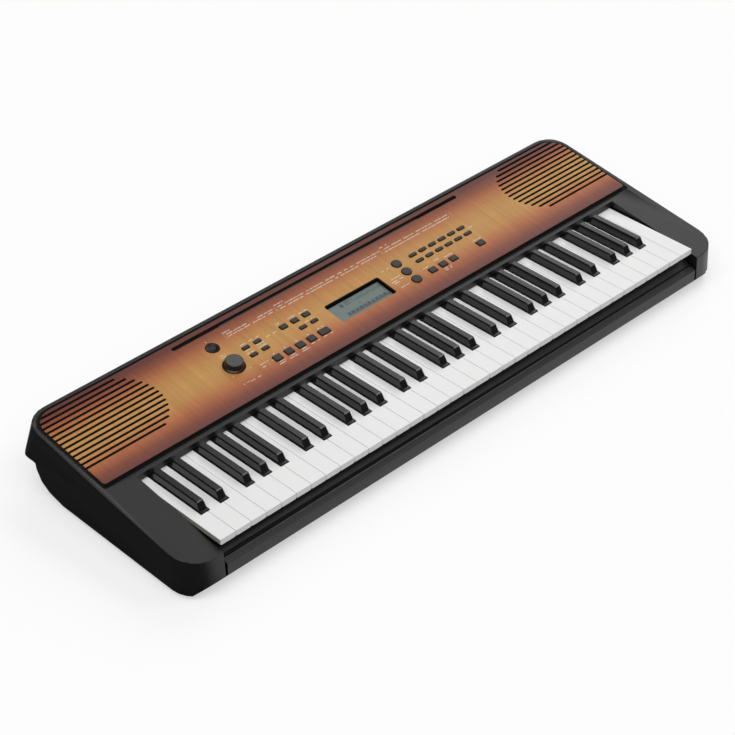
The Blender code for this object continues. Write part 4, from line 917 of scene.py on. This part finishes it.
# Buttons. Moulded caps of dark grey satin plastic with rounded edges, each group on one strip that
# lies under the deck.
CAP_TOP = 0.0040
CAP_FOOT = -0.0055
CAP_ROUNDING = 0.0010
STRIP_LOW, STRIP_HIGH = -0.0066, -0.0051
STRIP_MARGIN = 0.0026
cap_finish = Finish("button_cap")
cap_place = cap_finish.place()
cap_finish.feed("Roughness", 0.42 + cap_finish.noise(cap_place, 500, 3) * 0.12)
cap_finish.feed("Base Color", (0.020, 0.020, 0.021, 1))
cap_finish.bump(cap_finish.noise(cap_place, 2500), 0.00004, 0.4)
for name, caps in BUTTONS.items():
    strip = bmesh.new()
    for cap in caps:
        outline = cap_outline(*cap)
        floor = strip.faces.new([strip.verts.new((x, y, CAP_FOOT)) for x, y in outline])
        grown = bmesh.ops.extrude_face_region(strip, geom=[floor])["geom"]
        lid = [item for item in grown if isinstance(item, bmesh.types.BMFace)]
        rim = [item for item in grown if isinstance(item, bmesh.types.BMVert)]
        bmesh.ops.translate(strip, vec=(0, 0, CAP_TOP - CAP_FOOT), verts=rim)
        rounded(strip, [edge for face in lid for edge in face.edges], CAP_ROUNDING, 3)
    low = [min(c[i] - c[i + 2] / 2 for c in caps) - STRIP_MARGIN for i in (0, 1)]
    high = [max(c[i] + c[i + 2] / 2 for c in caps) + STRIP_MARGIN for i in (0, 1)]
    bar(strip, (*low, STRIP_LOW), (*high, STRIP_HIGH))
    bmesh.ops.recalc_face_normals(strip, faces=strip.faces)
    bmesh.ops.transform(strip, matrix=DECK, verts=strip.verts)
    made = piece(name[:-1] + "_caps", strip, cap_finish, name)
    flat_faces_first(made)
    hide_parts(name)

# Power button. A round cap of gloss black plastic, dished on top, with a flange under the deck that
# keeps it in.
POWER_FLANGE = 0.0118
POWER_PROFILE = [
    (0, 0.0015),
    (0.0042, 0.0015),
    (0.0046, 0.0011),
    (0.0058, 0.0014),
    (0.0076, 0.0023),
    (0.0086, 0.0026),
    (0.0090, 0.0025),
    (POWER_RADIUS, 0.0021),
    (POWER_RADIUS, STRIP_HIGH),
    (POWER_FLANGE, STRIP_HIGH),
    (POWER_FLANGE, STRIP_LOW),
    (0, STRIP_LOW),
]
gloss_finish = Finish("gloss_black", base_color=(0.005, 0.005, 0.005, 1), specular_ior_level=0.32)
gloss_finish.feed("Roughness", 0.30 + gloss_finish.noise(gloss_finish.place(), 200) * 0.06)
power = bmesh.new()
turned(power, POWER_PROFILE, 64, DECK @ Matrix.Translation((*POWER_PLACE, 0)))
power_cap = piece("power_cap", power, gloss_finish, "power_button")
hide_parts("power_button")

# Volume knob. A round knob with a wide black skirt and a dark grey top with fine round grooves,
# pushed on a stem that passes down through the panel.
KNOB_TOP = 0.0119
KNOB_RADIUS = 0.0150
KNOB_FOOT = 0.0025
STEM_RADIUS = 0.0030
GROOVE_COUNT = 39
GROOVE_STEP = 0.00026
GROOVE_DEPTH = 0.00006
KNOB_PROFILE = [
    (0, KNOB_TOP),
    *[(0.0004 + i * GROOVE_STEP, KNOB_TOP - GROOVE_DEPTH * (i % 2)) for i in range(GROOVE_COUNT)],
    (0.0108, KNOB_TOP),
    (0.0113, 0.0118),
    (0.0116, 0.0116),
    (0.0117, 0.0112),
    (0.0122, 0.0080),
    (0.0130, 0.0052),
    (0.0143, 0.0042),
    (0.0149, 0.0036),
    (KNOB_RADIUS, 0.0030),
    (KNOB_RADIUS, KNOB_FOOT),
    (STEM_RADIUS, KNOB_FOOT),
    (STEM_RADIUS, -0.0050),
    (0, -0.0050),
]
TOP_EDGE = (0.0112, 0.0116)
SKIRT_BLACK, TOP_GREY = (0.004, 0.004, 0.004, 1), (0.022, 0.022, 0.023, 1)
knob_finish = Finish("knob_top")
knob_axis = DECK @ Vector((*KNOB_PLACE, 0))
spin_place = knob_finish.place(
    moved=Matrix.Rotation(-DECK_SLOPE, 3, "X") @ -knob_axis,
    turned=(-DECK_SLOPE, 0, 0),
)
knob_x, knob_y, _ = knob_finish.parts(spin_place)
radius_from_axis = (knob_x * knob_x + knob_y * knob_y) ** 0.5
on_top = 1 - radius_from_axis.over(*TOP_EDGE)
knob_finish.feed("Base Color", knob_finish.mix(on_top, SKIRT_BLACK, TOP_GREY))
knob_finish.feed("Roughness", 0.34 - on_top * 0.12)
knob = bmesh.new()
turned(knob, KNOB_PROFILE, 72, DECK @ Matrix.Translation((*KNOB_PLACE, 0)))
knob_piece = piece("volume_cap", knob, knob_finish, "volume_knob")
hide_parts("volume_knob")

# White keys. Moulded in one piece each from glossy white plastic with a soft edge all round; the
# sides take a warmer, darker grey, painted shade for the gaps between the keys; the lower edges are
# cut away.
KEY_THICK = 0.008
LOWER_CUT = 0.0012
KEY_ROUNDING = 0.0009
SIDE_BELOW = (KEY_TOP - 0.0009, KEY_TOP - 0.0003)
SIDE_BEHIND = (KEY_FRONT + 0.0004, KEY_FRONT + 0.0008)
SIDE_SHADE_GREY = (0.38, 0.36, 0.31, 1)
white_finish = Finish("white_key", roughness=0.25)
white_place = white_finish.place()
white_cloud = white_finish.noise(white_place, 14, 2)
white_tint = white_finish.mix(white_cloud, (0.795, 0.795, 0.792, 1), (0.83, 0.83, 0.827, 1))
_, front_y, top_z = white_finish.parts(white_place)
# Painted shade: below the top edge and behind the front face, the key's sides are coloured a warm
# grey.
on_shaded_side = (1 - top_z.over(*SIDE_BELOW)) * front_y.over(*SIDE_BEHIND)
white_finish.feed("Base Color", white_finish.mix(on_shaded_side, white_tint, SIDE_SHADE_GREY))
white_finish.bump(white_finish.noise(white_place, 120, 2), 0.00005, 0.2)


def on_lower_edge(edge):
    """True for the lower long edges of the part of a white key that shows."""
    low = all(abs(v.co.z - KEY_TOP + KEY_THICK) < 0.0001 for v in edge.verts)
    near, far = sorted(v.co.y for v in edge.verts)
    return low and near < KEY_FRONT + 0.001 and far - near > 0.02


for node in sorted(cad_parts):
    single = node.startswith("key_") and "sharp" not in node and node != "key_bed"
    if single or node.startswith(("white_comb", "middle_comb")):
        key_mesh = merged(node)
        round_edges(key_mesh, on_lower_edge, LOWER_CUT, 1)
        name = node.replace("key_", "white_") + "_top"
        key = piece(name, key_mesh, white_finish, node)
        soften(key, KEY_ROUNDING, 3)
        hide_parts(node)

# Black keys. Satin black: a low plinth, and on it a body that is drawn in at the top and at the
# front, with rounded long edges and a narrow facet over its front slope.
KEY_PITCH = 0.0235
BLACK_CENTRES = {
    "c_sharp": 0.857,
    "d_sharp": 2.112,
    "f_sharp": 3.831,
    "g_sharp": 4.983,
    "a_sharp": 6.129,
}
PLINTH_FRONT = 0.0494
PLINTH_HALF = 0.0061
PLINTH_HEIGHT = 0.0015
BLACK_REAR = 0.168
BODY_HALF = 0.0056
BODY_TOP_HALF = 0.0049
BODY_HEIGHT = 0.012
BODY_REAR = 0.137
BODY_OUTLINE = [
    (0.0528, PLINTH_HEIGHT),
    (0.0577, 0.0108),
    (0.0593, BODY_HEIGHT),
    (BODY_REAR, BODY_HEIGHT),
    (BODY_REAR, PLINTH_HEIGHT),
]
TAIL_FRONT = 0.182
TAIL_HEIGHT = 0.0025
ROUNDING = 0.0017

# How far each edge is rounded: the front slope, the facet over it and the long top edge.
ROUNDED_SHARES = (0.45, 0.7, 1.0)
black_finish = Finish("black_key")
black_place = black_finish.place()
black_finish.feed("Base Color", (0.0042, 0.0042, 0.0045, 1))
black_finish.feed("Roughness", 0.19 + black_finish.noise(black_place, 700, 3) * 0.06)
black_finish.bump(black_finish.noise(black_place, 1800, 2), 0.00003, 0.3)


def black_key(work, rounding, centre):
    """Adds one black key and marks how far each of its edges is rounded."""
    bar(
        work,
        (centre - PLINTH_HALF, KEY_FRONT + PLINTH_FRONT, KEY_TOP - KEY_THICK),
        (centre + PLINTH_HALF, KEY_FRONT + BLACK_REAR, KEY_TOP + PLINTH_HEIGHT),
    )
    sides = []
    for side in (-1, 1):
        corners = []
        for y, height in BODY_OUTLINE:
            share = (height - PLINTH_HEIGHT) / (BODY_HEIGHT - PLINTH_HEIGHT)
            half = BODY_HALF + (BODY_TOP_HALF - BODY_HALF) * share
            corners.append(work.verts.new((centre + side * half, KEY_FRONT + y, KEY_TOP + height)))
        sides.append(corners)
        work.faces.new(corners)
    count = len(BODY_OUTLINE)
    for i in range(count):
        j = (i + 1) % count
        work.faces.new((sides[0][i], sides[0][j], sides[1][j], sides[1][i]))
    for corners in sides:
        for i, share in enumerate(ROUNDED_SHARES):
            edge = work.edges.get((corners[i], corners[i + 1]))
            edge[rounding] = share


for node in sorted(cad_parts):
    if "sharp" not in node and not node.startswith("black_comb"):
        continue
    octave = int(node[-1])
    left = -18 * KEY_PITCH + (octave - 2) * 7 * KEY_PITCH
    notes = BLACK_CENTRES if node.startswith("black_comb") else [node[4:-1]]
    tops = bmesh.new()
    rounding = tops.edges.layers.float.new("bevel_weight_edge")
    for note in notes:
        black_key(tops, rounding, left + BLACK_CENTRES[note] * KEY_PITCH)
    bmesh.ops.recalc_face_normals(tops, faces=tops.faces)
    low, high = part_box(node)
    bar(tops, (low.x, KEY_FRONT + TAIL_FRONT, low.z), (high.x, high.y, low.z + TAIL_HEIGHT))
    name = node.replace("key_", "black_") + "_top"
    key = piece(name, tops, black_finish, node, sharp=20)
    bevel = key.modifiers.new("edges", "BEVEL")
    bevel.width = ROUNDING
    bevel.segments = 4
    bevel.limit_method = "WEIGHT"
    flat_faces_first(key)
    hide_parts(node)

# Felt. A dark strip, glued under the deck's front lip just clear of the keys' tails, that keeps the
# keys quiet when they spring back.
FELT_HALF = OPENING_HALF - 0.0005
FELT_FRONT, FELT_REAR = KEY_FRONT + 0.1462, KEY_FRONT + 0.1485
FELT_LOW, FELT_HIGH = KEY_TOP + 0.0006, KEY_TOP + 0.0023
felt_finish = Finish("felt", base_color=(0.004, 0.004, 0.004, 1), roughness=0.95)
felt_finish.bump(felt_finish.noise(felt_finish.place(), 700, 4), 0.0003, 0.6)
felt = bmesh.new()
bar(felt, (-FELT_HALF, FELT_FRONT, FELT_LOW), (FELT_HALF, FELT_REAR, FELT_HIGH))
piece("felt_strip", felt, felt_finish, "case")

# Inside. The key bed, boards and sockets show only through gaps, so they keep their solids and take
# the finish of black plastic, green lacquered board and silicone rubber.
inner_finish = Finish("black_plastic", base_color=(0.008, 0.008, 0.008, 1))
inner_finish.feed("Roughness", 0.5 + inner_finish.noise(inner_finish.place(), 80) * 0.15)
board_finish = Finish("circuit_board")
tracks = board_finish.noise(board_finish.place(scaled=(1, 6, 1)), 120, 2)
board_green = board_finish.mix(tracks, (0.010, 0.060, 0.022, 1), (0.020, 0.100, 0.040, 1))
board_finish.feed("Base Color", board_green)
board_finish.feed("Roughness", 0.35)
silicone_finish = Finish("silicone", base_color=(0.25, 0.25, 0.25, 1))
silicone_finish.feed("Roughness", 0.6 + silicone_finish.noise(silicone_finish.place(), 90) * 0.2)
INSIDE = {
    "key_bed": inner_finish,
    "dc_inlet": inner_finish,
    "jack_board": inner_finish,
    "contact_board": board_finish,
    "panel_board": board_finish,
    "main_board": board_finish,
    "rubber_contacts": silicone_finish,
}
for node, finish in INSIDE.items():
    refinish(node, finish)

# Studio. A wide white floor and four plain lights: a broad one over the player's left shoulder, a
# small one in front on the right, one behind on the right and a wide dim one overhead. Mirrored in
# the case, the floor is grey, and nearly black left of the instrument, as over a dark card.
CARD_GREY, FLOOR_RISE, FLOOR_SLOPE = 0.035, 0.385, 0.08
CARD_EDGE, FLOOR_REACH = (-0.455, -0.41), (-0.41, 0.45)
floor_finish = Finish("studio_floor", roughness=0.9)
rays = floor_finish.tree.nodes.new("ShaderNodeLightPath")
seen = Value(floor_finish, rays.outputs["Is Camera Ray"])
mirrored = Value(floor_finish, rays.outputs["Is Glossy Ray"])
through = Value(floor_finish, rays.outputs["Is Transmission Ray"])
floor_x, _, _ = floor_finish.parts(floor_finish.place())
card = CARD_GREY + floor_x.over(*CARD_EDGE) * FLOOR_RISE
card = card + floor_x.over(*FLOOR_REACH) * FLOOR_SLOPE
card_grey = floor_finish.mix(card, (0, 0, 0, 1), (1, 1, 1, 1))
HALF_WHITE = (0.5, 0.5, 0.5, 1)
BOUNCED_GREY = (0.45, 0.45, 0.45, 1)
in_mirrors = mirrored.maths("MAXIMUM", through)
around = floor_finish.mix(in_mirrors, BOUNCED_GREY, card_grey)
floor_finish.feed("Base Color", floor_finish.mix(seen, around, HALF_WHITE))
glow = floor_finish.mix(in_mirrors, (0, 0, 0, 1), card_grey)
floor_finish.feed("Emission Color", floor_finish.mix(seen, glow, HALF_WHITE))
floor_finish.feed("Emission Strength", 1.0)
floor_finish.feed("Specular IOR Level", 0.0)
floor_mesh = bmesh.new()
bmesh.ops.create_grid(floor_mesh, x_segments=1, y_segments=1, size=60)
floor_data = bpy.data.meshes.new("floor")
floor_mesh.to_mesh(floor_data)
floor_mesh.free()
floor = bpy.data.objects.new("floor", floor_data)
floor.data.materials.append(floor_finish.material)
bpy.context.collection.objects.link(floor)


def studio_light(name, azimuth, elevation, spread, strength):
    """A far soft light: where it stands round the object, how wide and how strong it is."""
    data = bpy.data.lights.new(name, "SUN")
    data.energy = strength
    data.angle = math.radians(spread)
    light = bpy.data.objects.new(name, data)
    bpy.context.collection.objects.link(light)
    a, e = math.radians(azimuth), math.radians(elevation)
    towards = Vector((math.cos(a) * math.cos(e), math.sin(a) * math.cos(e), math.sin(e)))
    light.location = towards * 3
    light.rotation_mode = "QUATERNION"
    light.rotation_quaternion = towards.to_track_quat("Z", "Y")


studio_light("key_light", -135, 62, 70, 2.20)
studio_light("edge_light", -38, 46, 18, 0.32)
studio_light("back_light", 26, 39, 40, 0.55)
studio_light("top_light", 0, 90, 110, 0.32)
world = bpy.data.worlds.new("studio")
bpy.context.scene.world = world
world.use_nodes = True
sky = world.node_tree.nodes["Background"]
sky.inputs["Color"].default_value = (1, 1, 1, 1)
sky.inputs["Strength"].default_value = 0.06

bpy.context.scene.view_settings.view_transform = "Standard"
